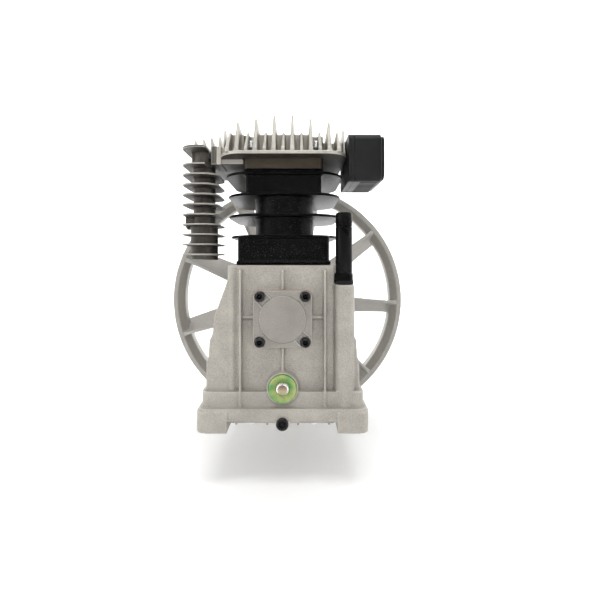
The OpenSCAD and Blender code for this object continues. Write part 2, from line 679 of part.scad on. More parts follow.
// ---- discharge cooler --------------------------------------------------------------------
cooler_gasket_x = flange_x - gasket_t;
cooler_flange_t = 5;
module flange_bolt_places() {
    for (y = [-1, 1]) translate([0, cooler_y + y * flange_bolt_y, flange_bolt_z]) children();
}
module cooler_gasket() {
    color("dimgray") difference() {
        block_between([cooler_gasket_x, flange_x],
            [cooler_y - flange_d / 2, cooler_y + flange_d / 2], flange_z);
        translate([0, cooler_y, port_z]) rod_x(cooler_bore_r, cooler_gasket_x - lap, flange_x + lap);
        flange_bolt_places() rod_x(m6_r + 0.3, cooler_gasket_x - lap, flange_x + lap);
    }
}
function cooler_fin_z(i) = i == 0 ? cooler_cap_z : cooler_next_fin - (i - 1) * cooler_pitch;
module discharge_cooler() {
    color("#8f8f8f") difference() {
        union() {
            translate([cooler_x, cooler_y, cooler_bottom])
                cylinder(r = cooler_tube_r, h = cooler_cap_z - cooler_bottom + lap);
            translate([cooler_x, cooler_y, cooler_bottom])
                cylinder(r = cooler_tube_r + 3, h = 3 * cooler_pitch + 5);
            block_between([cooler_x - 13, cooler_gasket_x],
                [cooler_y - cooler_block_w / 2, cooler_y + cooler_block_w / 2],
                [flange_z[0], cooler_cap_z + lap]);
            block_between([cooler_gasket_x - cooler_flange_t, cooler_gasket_x],
                [cooler_y - flange_d / 2, cooler_y + flange_d / 2], flange_z);
            for (i = [0:cooler_fins - 1]) intersection() {
                translate([cooler_x, cooler_y, cooler_fin_z(i)])
                    plate(cooler_fin_w, cooler_fin_depth, 16, i == 0 ? 3 : 2);
                block_between([-150, i < 2 ? cooler_gasket_x - cooler_flange_t - 5 : 0],
                    [-100, i == 0 ? arm_y[0] - 0.5 : 20], [0, 400]);
            }
            translate([0, cooler_y, cooler_fin_z(6) - 0.5 * cooler_pitch])
                rod_x(9, cooler_x - 20.5, cooler_x);
        }
        translate([cooler_x, cooler_y, cooler_bottom - lap])
            cylinder(r = cooler_bore_r, h = port_z - cooler_bottom + lap);
        translate([cooler_x, cooler_y, cooler_bottom - lap]) cylinder(r = outlet_r, h = outlet_len + lap);
        translate([0, cooler_y, port_z]) rod_x(cooler_bore_r, cooler_x, cooler_gasket_x + lap);
        flange_bolt_places()
            rod_x(m6_r + 0.3, cooler_gasket_x - cooler_flange_t - lap, cooler_gasket_x + lap);
    }
}
module cooler_bolts() {
    color("black") flange_bolt_places() translate([cooler_gasket_x - cooler_flange_t, 0, 0])
        rotate([0, -90, 0]) hex_bolt(m6_r, cooler_flange_t + 10, 10, 3.4);
}

// ---- intake filter -----------------------------------------------------------------------
module filter_nipple() {
    color("dimgray") translate([0, filter_y, head_z + 11]) difference() {
        rod_x(nipple_r, filter_x - 12, filter_x + 14);
        rod_x(nipple_r - 2, filter_x - 13, filter_x + 15);
    }
}
module filter_shell(x0, x1, in, r) {
    translate([0, filter_y, filter_z]) slab_x(x0, x1) rrect(filter_depth - 2 * in, filter_h - 2 * in, r);
}
module filter_base() {
    color("black") difference() {
        filter_shell(filter_x, filter_x + 6, 0, 9);
        filter_shell(filter_x + 3, filter_x + 7, 3, 7);
        translate([0, filter_y, head_z + 11]) rod_x(nipple_r + seat_gap, filter_x - lap, filter_x + 20);
        translate([0, filter_y, filter_z - 8]) rod_x(2.1, filter_x - lap, filter_x + 20);
    }
}
module filter_element() {
    color("khaki") difference() {
        filter_shell(filter_x + 6.5, filter_x + 34, 9, 6);
        translate([0, filter_y, head_z + 11]) rod_x(nipple_r + 0.5, filter_x, filter_x + 15);
        translate([0, filter_y, filter_z - 8]) rod_x(4, filter_x, filter_x + 60);
    }
}
filter_end = filter_x + 6 + filter_cover_w;
module filter_cover() {
    color("#151515") difference() {
        union() {
            filter_shell(filter_x + 6, filter_end - 4, 0, 9);
            filter_shell(filter_end - 5, filter_end, 2, 8);
        }
        filter_shell(filter_x + 5, filter_end - 2.5, 3.5, 7);
        for (i = [-4:4]) translate([filter_x + 14, filter_y + i * 8 - 1.5, filter_z - filter_h])
            cube([20, 3, filter_h - 16]);
        translate([0, filter_y, filter_z - 8]) rod_x(2.1, filter_end - 5, filter_end + lap);
    }
}
module filter_screw() {
    color("silver") translate([0, filter_y, filter_z - 8]) {
        rod_x(2, filter_x + 0.5, filter_end + 0.5);
        rod_x(5, filter_end + seat_gap, filter_end + 2);
    }
}

// ---- crankshaft and flywheel -------------------------------------------------------------
module web(s, y0) {
    translate([0, 0, crank_z]) {
        translate([0, 0, s * throw_r]) rod_y(cheek_r, y0, y0 + web_t);
        slab_y(y0, y0 + web_t) translate([-cheek_r, s > 0 ? -6 : -throw_r])
            square([2 * cheek_r, throw_r + 6]);
        intersection() {
            rod_y(web_r, y0, y0 + web_t);
            block_between([-web_r, web_r], [y0, y0 + web_t], s > 0 ? [-web_r, -4] : [4, web_r]);
        }
    }
}
module crankshaft() {
    color("slategray") difference() {
        union() {
            web(1, -cyl_y - pin_half - web_t);
            web(1, -cyl_y + pin_half);
            web(-1, cyl_y - pin_half - web_t);
            web(-1, cyl_y + pin_half);
            translate([0, 0, crank_z]) {
                rod_y(front_brg[0], front_brg_y, -cyl_y - pin_half - web_t + lap);
                rod_y(front_brg[0] + 4, front_brg_y + front_brg[2], -cyl_y - pin_half - web_t + lap);
                rod_y(22, -cyl_y + pin_half + web_t - lap, cyl_y - pin_half - web_t + lap);
                rod_y(rear_brg[0] + 5, cyl_y + pin_half + web_t - lap, rear_brg_y);
                rod_y(rear_brg[0], rear_brg_y - lap, rear_boss_y + 2);
                rod_y(nose_r, rear_boss_y, nose_y - 8);
            }
        }
        translate([-key_w / 2, hub_y[0] + 4, crank_z + nose_r - 4]) cube([key_w, key_len, 10]);
        translate([0, 0, crank_z]) rod_y(5 + seat_gap, nose_y - 34, nose_y);
    }
}
module flywheel_key() {
    color("gray") translate([-key_w / 2 + seat_gap, hub_y[0] + 4 + seat_gap, crank_z + nose_r - 4 + seat_gap])
        cube([key_w - 2 * seat_gap, key_len - 2 * seat_gap, key_h]);
}
rim_y = [wheel_y, wheel_y + rim_w];
groove_w = 17;
groove_deep = 11;
rim_flare = 9.6;                        // the rim's inner face tapers from both sides to its middle
module rim_profile() {
    inner = wheel_r - rim_t;
    difference() {
        polygon([[inner, rim_y[0]], [wheel_r, rim_y[0]], [wheel_r, rim_y[1]], [inner, rim_y[1]],
            [inner - rim_flare, rim_y[1] - rim_flare], [inner - rim_flare, rim_y[0] + rim_flare]]);
        translate([wheel_r, (rim_y[0] + rim_y[1]) / 2])
            polygon([[lap, -groove_w / 2 - 0.3], [-groove_deep, -groove_w / 2 + 3.6],
                [-groove_deep, groove_w / 2 - 3.6], [lap, groove_w / 2 + 0.3]]);
    }
}
module flywheel() {
    color("silver") difference() {
        union() {
            about_crank() rim_profile();
            about_crank() translate([0, hub_y[0]]) square([hub_d / 2, hub_y[1] - hub_y[0]]);
            intersection() {
                translate([0, 0, crank_z]) for (i = [0:spokes - 1]) rotate([0, -i * 360 / spokes, 0])
                    translate([hub_d / 2 - 12, wheel_y + rim_w / 2, -spoke_lag])
                        rotate([90 + spoke_pitch, 0, 0]) translate([0, -rim_w, -spoke_t / 2])
                            cube([wheel_r, 2 * rim_w, spoke_t]);
                about_crank() translate([0, rim_y[0]]) square([wheel_r - rim_t - 1, rim_w]);
            }
        }
        translate([0, 0, crank_z]) rod_y(nose_r + seat_gap, hub_y[0] - lap, hub_y[1] + lap);
        translate([-key_w / 2, hub_y[0] - lap, crank_z]) cube([key_w, hub_y[1], nose_r + key_h - 3]);
    }
}
washer_t = 3;
module flywheel_washer() {
    color("gainsboro") translate([0, 0, crank_z]) difference() {
        rod_y(19, hub_y[1], hub_y[1] + washer_t);
        rod_y(5.3, hub_y[1] - lap, hub_y[1] + 2 * washer_t);
    }
}
module flywheel_bolt() {
    color("gray") translate([0, hub_y[1] + washer_t, crank_z]) rotate([-90, 0, 0]) hex_bolt(5, 26, 17, 6.5);
}

// ---- pistons and connecting rods ---------------------------------------------------------
ring_z = [5, 10, 16];
ring_h = [2, 2, 3.5];
ring_deep = 3;
piston_r = bore_r - run_gap;
boss_half = 11;
module piston(y, pin_z) {
    color("silver") translate([0, y, pin_z + pin_drop]) difference() {
        translate([0, 0, -piston_h]) cylinder(r = piston_r, h = piston_h);
        for (i = [0:2]) translate([0, 0, -ring_z[i] - ring_h[i]]) difference() {
            cylinder(r = bore_r + lap, h = ring_h[i]);
            translate([0, 0, -lap]) cylinder(r = piston_r - ring_deep, h = ring_h[i] + 2 * lap);
        }
        translate([0, 0, -piston_h - lap]) intersection() {
            cylinder(r = piston_r - 5, h = piston_h - 9 + lap);
            union() {
                translate([-bore_d, -boss_half, 0]) cube([2 * bore_d, 2 * boss_half, piston_h]);
                cylinder(r = bore_r, h = piston_h - pin_drop - wrist_d / 2 - 5 + lap);
            }
        }
        translate([0, 0, -pin_drop]) rod_y(wrist_d / 2 + seat_gap, -bore_r, bore_r);
    }
}
module piston_rings(y, pin_z) {
    color("dimgray") for (i = [0:2])
        translate([0, y, pin_z + pin_drop - ring_z[i] - ring_h[i] + 0.05]) difference() {
        cylinder(r = bore_r - 0.02, h = ring_h[i] - 0.1);
        translate([0, 0, -lap]) cylinder(r = piston_r - ring_deep + 0.1, h = ring_h[i] + 2 * lap);
        translate([-bore_d, -0.3, -lap]) cube([bore_d, 0.6, ring_h[i] + 2 * lap]);
    }
}
module wrist_pin(y, pin_z) {
    color("lightgray") translate([0, y, pin_z]) difference() {
        rod_y(wrist_d / 2, -bore_r + 5, bore_r - 5);
        rod_y(wrist_d / 2 - 3.5, -bore_r, bore_r);
    }
}
big_r = crankpin_d / 2 + 7;
small_r = wrist_d / 2 + 4.5;
module connecting_rod(y, pin_z) {
    color("darkgray") translate([0, y, pin_z]) difference() {
        union() {
            rod_y(small_r, -boss_half + 1, boss_half - 1);
            translate([0, 0, -rod_len]) rod_y(big_r, -rod_w / 2, rod_w / 2);
            block_between([-7.5, 7.5], [-5, 5], [-rod_len + lap, -lap]);
            block_between([-big_r - 6, big_r + 6], [-rod_w / 2, rod_w / 2], [-rod_len - 10, -rod_len + 10]);
            block_between([-1.5, 1.5], [-4, 4], [-rod_len - big_r - 12, -rod_len - big_r + 2]);
        }
        rod_y(wrist_d / 2 + run_gap, -bore_r, bore_r);
        translate([0, 0, -rod_len]) rod_y(crankpin_d / 2 + seat_gap, -rod_w, rod_w);
        for (x = [-1, 1]) translate([x * (big_r + 1.5), 0, -rod_len]) {
            translate([0, 0, -12]) cylinder(r = m6_r + seat_gap, h = 24);
            translate([0, 0, -20]) cylinder(r = 5.2, h = 10);
        }
    }
}
module rod_cap_bolts(y, pin_z) {
    color("dimgray") for (x = [-1, 1]) translate([x * (big_r + 1.5), y, pin_z - rod_len - 10])
        rotate([180, 0, 0]) cap_screw(m6_r, 19, 4.9, 5);
}
module crank_pin(y, pin_z) {
    color("gainsboro") translate([0, y, pin_z - rod_len])
        rod_y(crankpin_d / 2, -pin_half + open_gap, pin_half - open_gap);
}
module front_piston() { piston(-cyl_y, tdc_pin_z); }
module front_piston_rings() { piston_rings(-cyl_y, tdc_pin_z); }
module front_wrist_pin() { wrist_pin(-cyl_y, tdc_pin_z); }
module front_connecting_rod() { connecting_rod(-cyl_y, tdc_pin_z); }
module front_rod_cap_bolts() { rod_cap_bolts(-cyl_y, tdc_pin_z); }
module front_crank_pin() { crank_pin(-cyl_y, tdc_pin_z); }
module rear_piston() { piston(cyl_y, bdc_pin_z); }
module rear_piston_rings() { piston_rings(cyl_y, bdc_pin_z); }
module rear_wrist_pin() { wrist_pin(cyl_y, bdc_pin_z); }
module rear_connecting_rod() { connecting_rod(cyl_y, bdc_pin_z); }
module rear_rod_cap_bolts() { rod_cap_bolts(cyl_y, bdc_pin_z); }
module rear_crank_pin() { crank_pin(cyl_y, bdc_pin_z); }

// ---- drawing ------------------------------------------------------------------------------
crankcase();
front_cover_gasket();
front_bearing_cover();
front_cover_screws();
front_bearing_outer_race();
front_bearing_balls();
front_bearing_inner_race();
rear_bearing_outer_race();
rear_bearing_balls();
rear_bearing_inner_race();
shaft_oil_seal();
sight_glass_ring();
sight_glass_lens();
drain_plug();
bottom_cover_gasket();
bottom_cover();
bottom_cover_bolts();
breather_collar();
breather_tube();
block_base_gasket();
cylinder_block();
block_base_bolts();
block_top_gasket();
intake_valve_plate();
intake_reeds();
plate_gasket();
discharge_valve_plate();
discharge_reeds();
reed_stops();
head_gasket();
cylinder_head();
head_bolts();
cooler_gasket();
discharge_cooler();
cooler_bolts();
filter_nipple();
filter_base();
filter_element();
filter_cover();
filter_screw();
crankshaft();
flywheel_key();
flywheel();
flywheel_washer();
flywheel_bolt();
front_piston();
front_piston_rings();
front_wrist_pin();
front_connecting_rod();
front_rod_cap_bolts();
front_crank_pin();
rear_piston();
rear_piston_rings();
rear_wrist_pin();
rear_connecting_rod();
rear_rod_cap_bolts();
rear_crank_pin();
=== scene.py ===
import math

import bmesh
import bpy
from mathutils import Matrix, Vector


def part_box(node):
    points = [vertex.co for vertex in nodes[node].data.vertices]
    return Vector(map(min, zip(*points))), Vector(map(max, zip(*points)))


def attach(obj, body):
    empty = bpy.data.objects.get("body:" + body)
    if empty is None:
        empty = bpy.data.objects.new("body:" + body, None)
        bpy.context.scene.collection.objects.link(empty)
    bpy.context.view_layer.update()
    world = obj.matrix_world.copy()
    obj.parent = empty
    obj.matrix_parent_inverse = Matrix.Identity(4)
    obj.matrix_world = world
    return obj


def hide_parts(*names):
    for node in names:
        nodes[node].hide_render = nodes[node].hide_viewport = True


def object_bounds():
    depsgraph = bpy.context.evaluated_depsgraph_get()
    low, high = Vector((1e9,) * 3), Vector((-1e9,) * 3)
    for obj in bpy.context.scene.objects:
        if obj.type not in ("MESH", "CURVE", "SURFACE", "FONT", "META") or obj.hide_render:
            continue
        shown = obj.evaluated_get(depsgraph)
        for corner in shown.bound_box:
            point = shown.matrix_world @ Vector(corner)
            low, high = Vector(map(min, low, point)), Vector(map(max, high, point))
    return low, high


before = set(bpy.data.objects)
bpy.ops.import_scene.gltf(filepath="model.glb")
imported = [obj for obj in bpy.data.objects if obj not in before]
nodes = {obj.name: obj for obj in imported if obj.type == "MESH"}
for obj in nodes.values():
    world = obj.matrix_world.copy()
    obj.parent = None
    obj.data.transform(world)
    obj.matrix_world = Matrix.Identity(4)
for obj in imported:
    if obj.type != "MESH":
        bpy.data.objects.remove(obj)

cad_box = [list(corner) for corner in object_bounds()]
scene = bpy.context.scene
MM = 0.001


# ---- Node graphs -------------------------------------------------------------------------
# Materials and Geometry Nodes are written as Python expressions with these classes.
class Sock:
    """A value on its way between two nodes. Arithmetic on it adds Math nodes."""

    def __init__(self, graph, out):
        self.graph, self.out = graph, out

    def _maths(self, operation, a, b):
        return self.graph.node("ShaderNodeMath", {"operation": operation}, {0: a, 1: b})

    def __add__(self, other):
        return self._maths("ADD", self, other)

    def __sub__(self, other):
        return self._maths("SUBTRACT", self, other)

    def __rsub__(self, other):
        return self._maths("SUBTRACT", other, self)

    def __mul__(self, other):
        return self._maths("MULTIPLY", self, other)

    __radd__, __rmul__ = __add__, __mul__


class Graph:
    """A node tree. One method adds a node, sets it up and links it."""

    def __init__(self, tree):
        self.tree = tree

    def node(self, kind, settings, inputs, out=0):
        made = self.tree.nodes.new(kind)
        for label, value in settings.items():
            if label == "stops":
                ramp = made.color_ramp
                for stop, (place, level) in zip((ramp.elements[0], ramp.elements[1]), value):
                    stop.position, stop.color = place, (level, level, level, 1)
            else:
                setattr(made, label, value)
        for key, value in inputs.items():
            if isinstance(value, Sock):
                self.tree.links.new(value.out, made.inputs[key])
            else:
                made.inputs[key].default_value = value
        return Sock(self, made.outputs[out])


class Finish(Graph):
    """A material on one Principled shader. Constants are set on the shader's own sockets."""

    def __init__(self, name, **constants):
        self.material = bpy.data.materials.new(name)
        self.material.use_nodes = True
        super().__init__(self.material.node_tree)
        self.shader = self.tree.nodes["Principled BSDF"]
        for label, value in constants.items():
            self.shader.inputs[label.replace("_", " ")].default_value = value

    def place(self):
        return self.node("ShaderNodeTexCoord", {}, {}, "Object")

    def along(self, axis):
        """The place along X, Y or Z, for an axis of 0, 1 or 2."""
        return self.node("ShaderNodeSeparateXYZ", {}, {"Vector": self.place()}, axis)

    def curve(self):
        """About 0.5 on flat ground, less in a corner and more on an edge."""
        return self.node("ShaderNodeNewGeometry", {}, {}, "Pointiness")

    def grain(self, scale, detail=2.0, rough=0.5, stretch=(1, 1, 1)):
        where = self.node("ShaderNodeMapping", {}, {"Vector": self.place(), "Scale": stretch})
        return self.node("ShaderNodeTexNoise", {},
                         {"Vector": where, "Scale": scale, "Detail": detail, "Roughness": rough})

    def ramp(self, value, low, high):
        return self.node("ShaderNodeValToRGB", {"stops": (low, high)}, {"Fac": value})

    def mix(self, amount, a, b):
        return self.node("ShaderNodeMix", {"data_type": "RGBA"}, {0: amount, 6: a, 7: b}, 2)

    def feed(self, label, value):
        self.tree.links.new(value.out, self.shader.inputs[label])

    def fed(self, label):
        """What feeds a socket of the shader now."""
        return Sock(self, self.shader.inputs[label].links[0].from_socket)

    def relief(self, height, depth):
        self.feed("Normal", self.node("ShaderNodeBump", {}, {
            "Strength": 1.0, "Distance": depth, "Height": height}))


class Growth(Graph):
    """A Geometry Nodes tree that plants copies of a form. Its other inputs are sizes."""

    def __init__(self, name, sizes):
        super().__init__(bpy.data.node_groups.new(name, "GeometryNodeTree"))
        sockets = self.tree.interface
        for label, kind in {"Geometry": "Geometry", **sizes, "Finish": "Material"}.items():
            sockets.new_socket(label, in_out="INPUT", socket_type="NodeSocket" + kind)
        sockets.new_socket("Geometry", in_out="OUTPUT", socket_type="NodeSocketGeometry")
        self.inlet = self.tree.nodes.new("NodeGroupInput")

    def given(self, label):
        return Sock(self, self.inlet.outputs[label])

    def plant(self, points, each, whole):
        """The form on each point, then all of them moved as one, made real and painted."""
        copies = self.node("GeometryNodeInstanceOnPoints", {}, {
            "Points": points, "Instance": self.given("Geometry"), **each})
        placed = self.node("GeometryNodeTransform", {}, {"Geometry": copies, **whole})
        real = self.node("GeometryNodeRealizeInstances", {}, {0: placed})
        painted = self.node("GeometryNodeSetMaterial", {}, {
            "Geometry": real, "Material": self.given("Finish")})
        self.tree.links.new(painted.out, self.tree.nodes.new("NodeGroupOutput").inputs[0])
        return self.tree


# ---- Finishes ----------------------------------------------------------------------------
# What changes over a surface comes from noise on Object coordinates and from the curvature
# of the mesh. Depths of relief are in metres.
def tint(red, green, blue):
    """An 8-bit colour as linear values."""
    return tuple((part / 255) ** 2.2 for part in (red, green, blue)) + (1,)


def blasted(name, dark, light, edge, metallic, rough, grit, depth, worn=0.35):
    """Bare cast metal: fine grit, slow cloudy tone, painted shade in corners, paler rubbed edges.
    """
    made = Finish(name)
    cloud = made.ramp(made.grain(34, 3), (0.34, 0.0), (0.68, 1.0))
    fine = made.ramp(made.grain(grit, 2, 0.6), (0.3, 0.0), (0.7, 1.0))
    curve = made.curve()
    # Painted shade: the colour darkens in corners and creases, where shade falls.
    corner = made.ramp(curve, (0.44, 1.0), (0.495, 0.0))
    ridge = made.ramp(curve, (0.51, 0.0), (0.58, 1.0))
    ground = made.mix(cloud * 0.36 + fine * 0.64, dark, light)
    rubbed = made.mix(ridge * worn, ground, edge)
    # The tone of the painted shade in corners: the dark tone made darker still.
    painted_corner_shade = tuple(part * 0.45 for part in dark[:3]) + (1,)
    made.feed("Base Color", made.mix(corner * 0.55, rubbed, painted_corner_shade))
    made.feed("Metallic", metallic - corner * 0.2)
    made.feed("Roughness", rough + fine * 0.16 - ridge * 0.1)
    made.relief(fine + made.grain(grit * 0.28, 2) * 0.6, depth)
    return made


def oxide(name, light, dark):
    """Blackened steel: oily, slightly mottled, with grey rubbed edges."""
    made = Finish(name, Metallic=0.85)
    mottle = made.grain(420, 3)
    edge = made.ramp(made.curve(), (0.53, 0.0), (0.66, 1.0))
    skin = made.mix(mottle, dark, light)
    made.feed("Base Color", made.mix(edge * 0.5, skin, tint(120, 118, 115)))
    made.feed("Roughness", 0.24 + mottle * 0.2)
    made.relief(made.grain(1800), 0.00005)
    return made


def fibre(name, dark, light, rough):
    """Pressed gasket: short matted strands and an oily patch here and there."""
    made = Finish(name)
    strand = made.grain(900, 4, 0.7, (1, 1, 3))
    patch = made.ramp(made.grain(60, 2), (0.4, 0.0), (0.7, 1.0))
    made.feed("Base Color", made.mix(strand * 0.6 + patch * 0.4, dark, light))
    made.feed("Roughness", rough - patch * 0.2)
    made.relief(strand, 0.0001)
    return made


def plated(name, dark, light, rough):
    """Zinc plate: bright, faintly blue and clouded, with a soft sheen."""
    made = Finish(name, Metallic=1.0)
    cloud = made.grain(260, 3)
    made.feed("Base Color", made.mix(cloud, dark, light))
    made.feed("Roughness", rough + cloud * 0.16)
    made.relief(made.grain(1500, 2), 0.00003)
    return made


def moulded(name, dark, light, rough, pore, depth, shine=0.2):
    """Black moulded plastic: fine texture, satin patches and paler worn corners."""
    made = Finish(name, Specular_IOR_Level=shine)
    patch = made.grain(70, 3)
    edge = made.ramp(made.curve(), (0.53, 0.0), (0.68, 1.0))
    made.feed("Base Color", made.mix(edge * 0.45, made.mix(patch, dark, light), tint(86, 86, 86)))
    made.feed("Roughness", rough + patch * 0.16)
    made.relief(made.grain(pore, 2), depth)
    return made


def ground_steel(name, dark, light, rough, lay=(1, 1, 14), stain=0.0):
    """Ground or turned steel with fine tool lines and some heat stain."""
    made = Finish(name, Metallic=1.0)
    line = made.grain(700, 2, 0.5, lay)
    heat = made.ramp(made.grain(45, 3), (0.42, 0.0), (0.66, 1.0))
    bare = made.mix(line, dark, light)
    made.feed("Base Color", made.mix(heat * stain, bare, tint(74, 62, 52)))
    made.feed("Roughness", rough + line * 0.14 + heat * stain * 0.15)
    made.relief(line, 0.00004)
    return made


# ---- Forms -------------------------------------------------------------------------------
# Each form is built as a bmesh and ends as a mesh in metres. Sizes are in millimetres, except
# where a function says otherwise.
def corners(box):
    """The low and the high corner of a box."""
    return [Vector(corner) for corner in box]


def finished(form, name):
    """The form as a mesh. The form itself is freed."""
    mesh = bpy.data.meshes.new(name)
    form.to_mesh(mesh)
    form.free()
    return mesh


def evaluated(piece):
    graph = bpy.context.evaluated_depsgraph_get()
    return bpy.data.meshes.new_from_object(piece.evaluated_get(graph))


def merged(node):
    """The mesh of a CAD node with its triangles joined into a closed skin."""
    skin = bmesh.new()
    skin.from_mesh(nodes[node].data)
    bmesh.ops.remove_doubles(skin, verts=skin.verts, dist=2e-6)
    return finished(skin, node + "_form")


def together(name, *meshes):
    """Several meshes as one."""
    whole = bmesh.new()
    for mesh in meshes:
        whole.from_mesh(mesh)
    return finished(whole, name)


def moved(mesh, place, turn=(0, 0, 0)):
    """The mesh turned and then moved, in metres and degrees."""
    rotation = Matrix.Identity(4)
    for axis, angle in zip("XYZ", turn):
        rotation = Matrix.Rotation(math.radians(angle), 4, axis) @ rotation
    mesh.transform(Matrix.Translation(place) @ rotation)
    return mesh


def cast(forms, grid, rounds=4, most=170000):
    """Closed forms poured as one casting: joined, with every edge and corner rounded. The
    grid is in metres, and the most triangles is a limit that thins the mesh."""
    mould = bpy.data.objects.new("mould", together("mould", *forms))
    scene.collection.objects.link(mould)
    pour = mould.modifiers.new("pour", "REMESH")
    pour.mode, pour.voxel_size = "VOXEL", grid
    ease = mould.modifiers.new("ease", "SMOOTH")
    ease.factor, ease.iterations = 0.5, rounds
    mould.data = evaluated(mould)
    mould.modifiers.clear()
    count = sum(len(face.vertices) - 2 for face in mould.data.polygons)
    if count > most:
        mould.modifiers.new("thin", "DECIMATE").ratio = most / count
    mesh = evaluated(mould)
    bpy.data.objects.remove(mould)
    return mesh


def bar(start, end, width, depth):
    """A closed bar between two points on the lid. Everything is in metres."""
    along = Vector(end) - Vector(start)
    middle = (Vector(end) + Vector(start)) / 2
    form = bmesh.new()
    bmesh.ops.create_cube(form, size=1.0)
    turn = Matrix.Rotation(-math.atan2(along.z, along.x), 4, "Y")
    size = Matrix.Diagonal((along.length, depth, width, 1))
    form.transform(Matrix.Translation(middle) @ turn @ size)
    return finished(form, "bar")


def circle(sides):
    """The cosine and the sine of each of a circle's evenly spaced angles."""
    return [(math.cos(t), math.sin(t)) for t in (math.tau * i / sides for i in range(sides))]


def bridged(form, loops):
    """Faces between each closed loop of corners and the next."""
    for low, high in zip(loops, loops[1:]):
        for i in range(len(low)):
            j = (i + 1) % len(low)
            form.faces.new((low[i], low[j], high[j], high[i]))


def ring_form(section, segments, axle, start=0.0):
    """A closed ring about Y from (radius, y) corners. The height of its axle, and the y that
    it starts from, are in metres."""
    form = bmesh.new()
    hoops = [[form.verts.new((r * MM * c, start + y * MM, axle + r * MM * s))
              for c, s in circle(segments)] for r, y in section]
    bridged(form, hoops + hoops[:1])
    bmesh.ops.recalc_face_normals(form, faces=form.faces)
    return finished(form, "ring")


HEX, KNURL = "hexagon", "knurl"
TOOTH = 0.06


def turned(profile, segments=64):
    """A turned form on Z from rings of (radius, height), with both ends closed on the axis. A
    third value of HEX makes a hexagon whose radius is half its width over flats, and one of
    KNURL makes small teeth."""
    form = bmesh.new()
    rings = []
    for radius, height, *shape in profile:
        ring = []
        for i in range(segments):
            angle = math.tau * i / segments
            reach = radius
            if shape == [HEX]:
                reach /= math.cos((angle + math.pi / 6) % (math.tau / 6) - math.pi / 6)
            elif shape == [KNURL]:
                reach += TOOTH * (1 if i % 2 else -1)
            ring.append(form.verts.new((reach * math.cos(angle), reach * math.sin(angle), height)))
        rings.append(ring)
    bridged(form, rings)
    form.faces.new(list(reversed(rings[0])))
    form.faces.new(rings[-1])
    bmesh.ops.recalc_face_normals(form, faces=form.faces)
    form.transform(Matrix.Scale(MM, 4))
    return finished(form, "turned")


def shank(radius, length):
    """The rings of a bolt's shank, from its chamfered point up to its head."""
    return [(0.3, -length), (radius - 0.7, -length), (radius, -length + 0.8), (radius, 0)]


def socket_screw(shank_r, length, head_r, head_h):
    """A knurled socket-head screw standing on the underside of its head."""
    key = shank_r * 0.83
    side = head_r - 0.06
    return turned(shank(shank_r, length) + [
        (head_r - 0.3, 0), (side, 0.5), (side, 0.8, KNURL), (side, head_h - 1.1, KNURL),
        (side, head_h - 0.8), (head_r - 0.7, head_h), (key + 0.75, head_h),
        (key + 0.1, head_h - 0.3, HEX), (key, head_h - 0.8, HEX), (key, head_h * 0.42, HEX),
        (0.2, head_h * 0.34)], 96)


def hex_bolt(shank_r, length, half_width, head_h):
    """A hex bolt with chamfered corners, standing on the underside of its head."""
    flat = half_width * 0.995
    return turned(shank(shank_r, length) + [
        (half_width * 0.93, 0), (flat, 0.3, HEX), (flat, head_h - 0.7, HEX),
        (half_width * 0.93, head_h - 0.1), (half_width * 0.86, head_h),
        (half_width * 0.55, head_h), (half_width * 0.5, head_h - 0.25), (0.3, head_h - 0.3)], 72)


def fin_form(height, length, peak, root, tip):
    """One fin as a wedge in the YZ plane: steep ends, a peak near each and a lower middle."""
    foot, shoulder = 3, 8
    half = length / 2
    outline = [(-half, foot), (-half, shoulder), (-half + peak, height),
               (-half + peak + 6, height - 1), (-length / 4, height * 0.88),
               (length / 4, height * 0.88), (half - peak - 6, height - 1), (half - peak, height),
               (half, shoulder), (half, foot)]
    form = bmesh.new()
    sides = []
    for way in (-1, 1):
        side = []
        for y, z in outline:
            thick = root + (tip - root) * (z - foot) / (height - foot)
            side.append(form.verts.new((way * thick / 2 * MM, y * MM, z * MM)))
        sides.append(side)
    bridged(form, sides)
    form.faces.new(sides[0])
    form.faces.new(list(reversed(sides[1])))
    bmesh.ops.triangulate(form, faces=form.faces)
    bmesh.ops.recalc_face_normals(form, faces=form.faces)
    return finished(form, "fin")


def blade_form(root_r, rim_r, front, width):
    """One fan blade along X, from inside the hub to just short of the rim's inner face. Its
    near edge falls with the radius and its far edge does not, so it twists. It is thicker
    where it leaves the hub and where it meets the rim."""
    form = bmesh.new()
    rows, steps = 26, 10
    far, plate, more_at_hub, more_at_rim = -20.6, 4.3, 2.6, 2.4
    loops = []
    for i in range(rows + 1):
        r = root_r + (rim_r - 2 - root_r) * i / rows
        near = 11.7 - 14.1 * r / 174
        thick = (plate + more_at_hub * math.exp(-(r - 35) ** 2 / 60)
                 + more_at_rim * math.exp((r - rim_r) / 5))
        loop = [(near + (far - near) * u / steps + thick / 2, front + width * u / steps)
                for u in range(steps + 1)]
        loop += [(z - thick, y) for z, y in reversed(loop)]
        loops.append([form.verts.new((r * MM, y * MM, z * MM)) for z, y in loop])
    bridged(form, loops)
    form.faces.new(list(reversed(loops[0])))
    form.faces.new(loops[-1])
    bmesh.ops.recalc_face_normals(form, faces=form.faces)
    return finished(form, "blade")


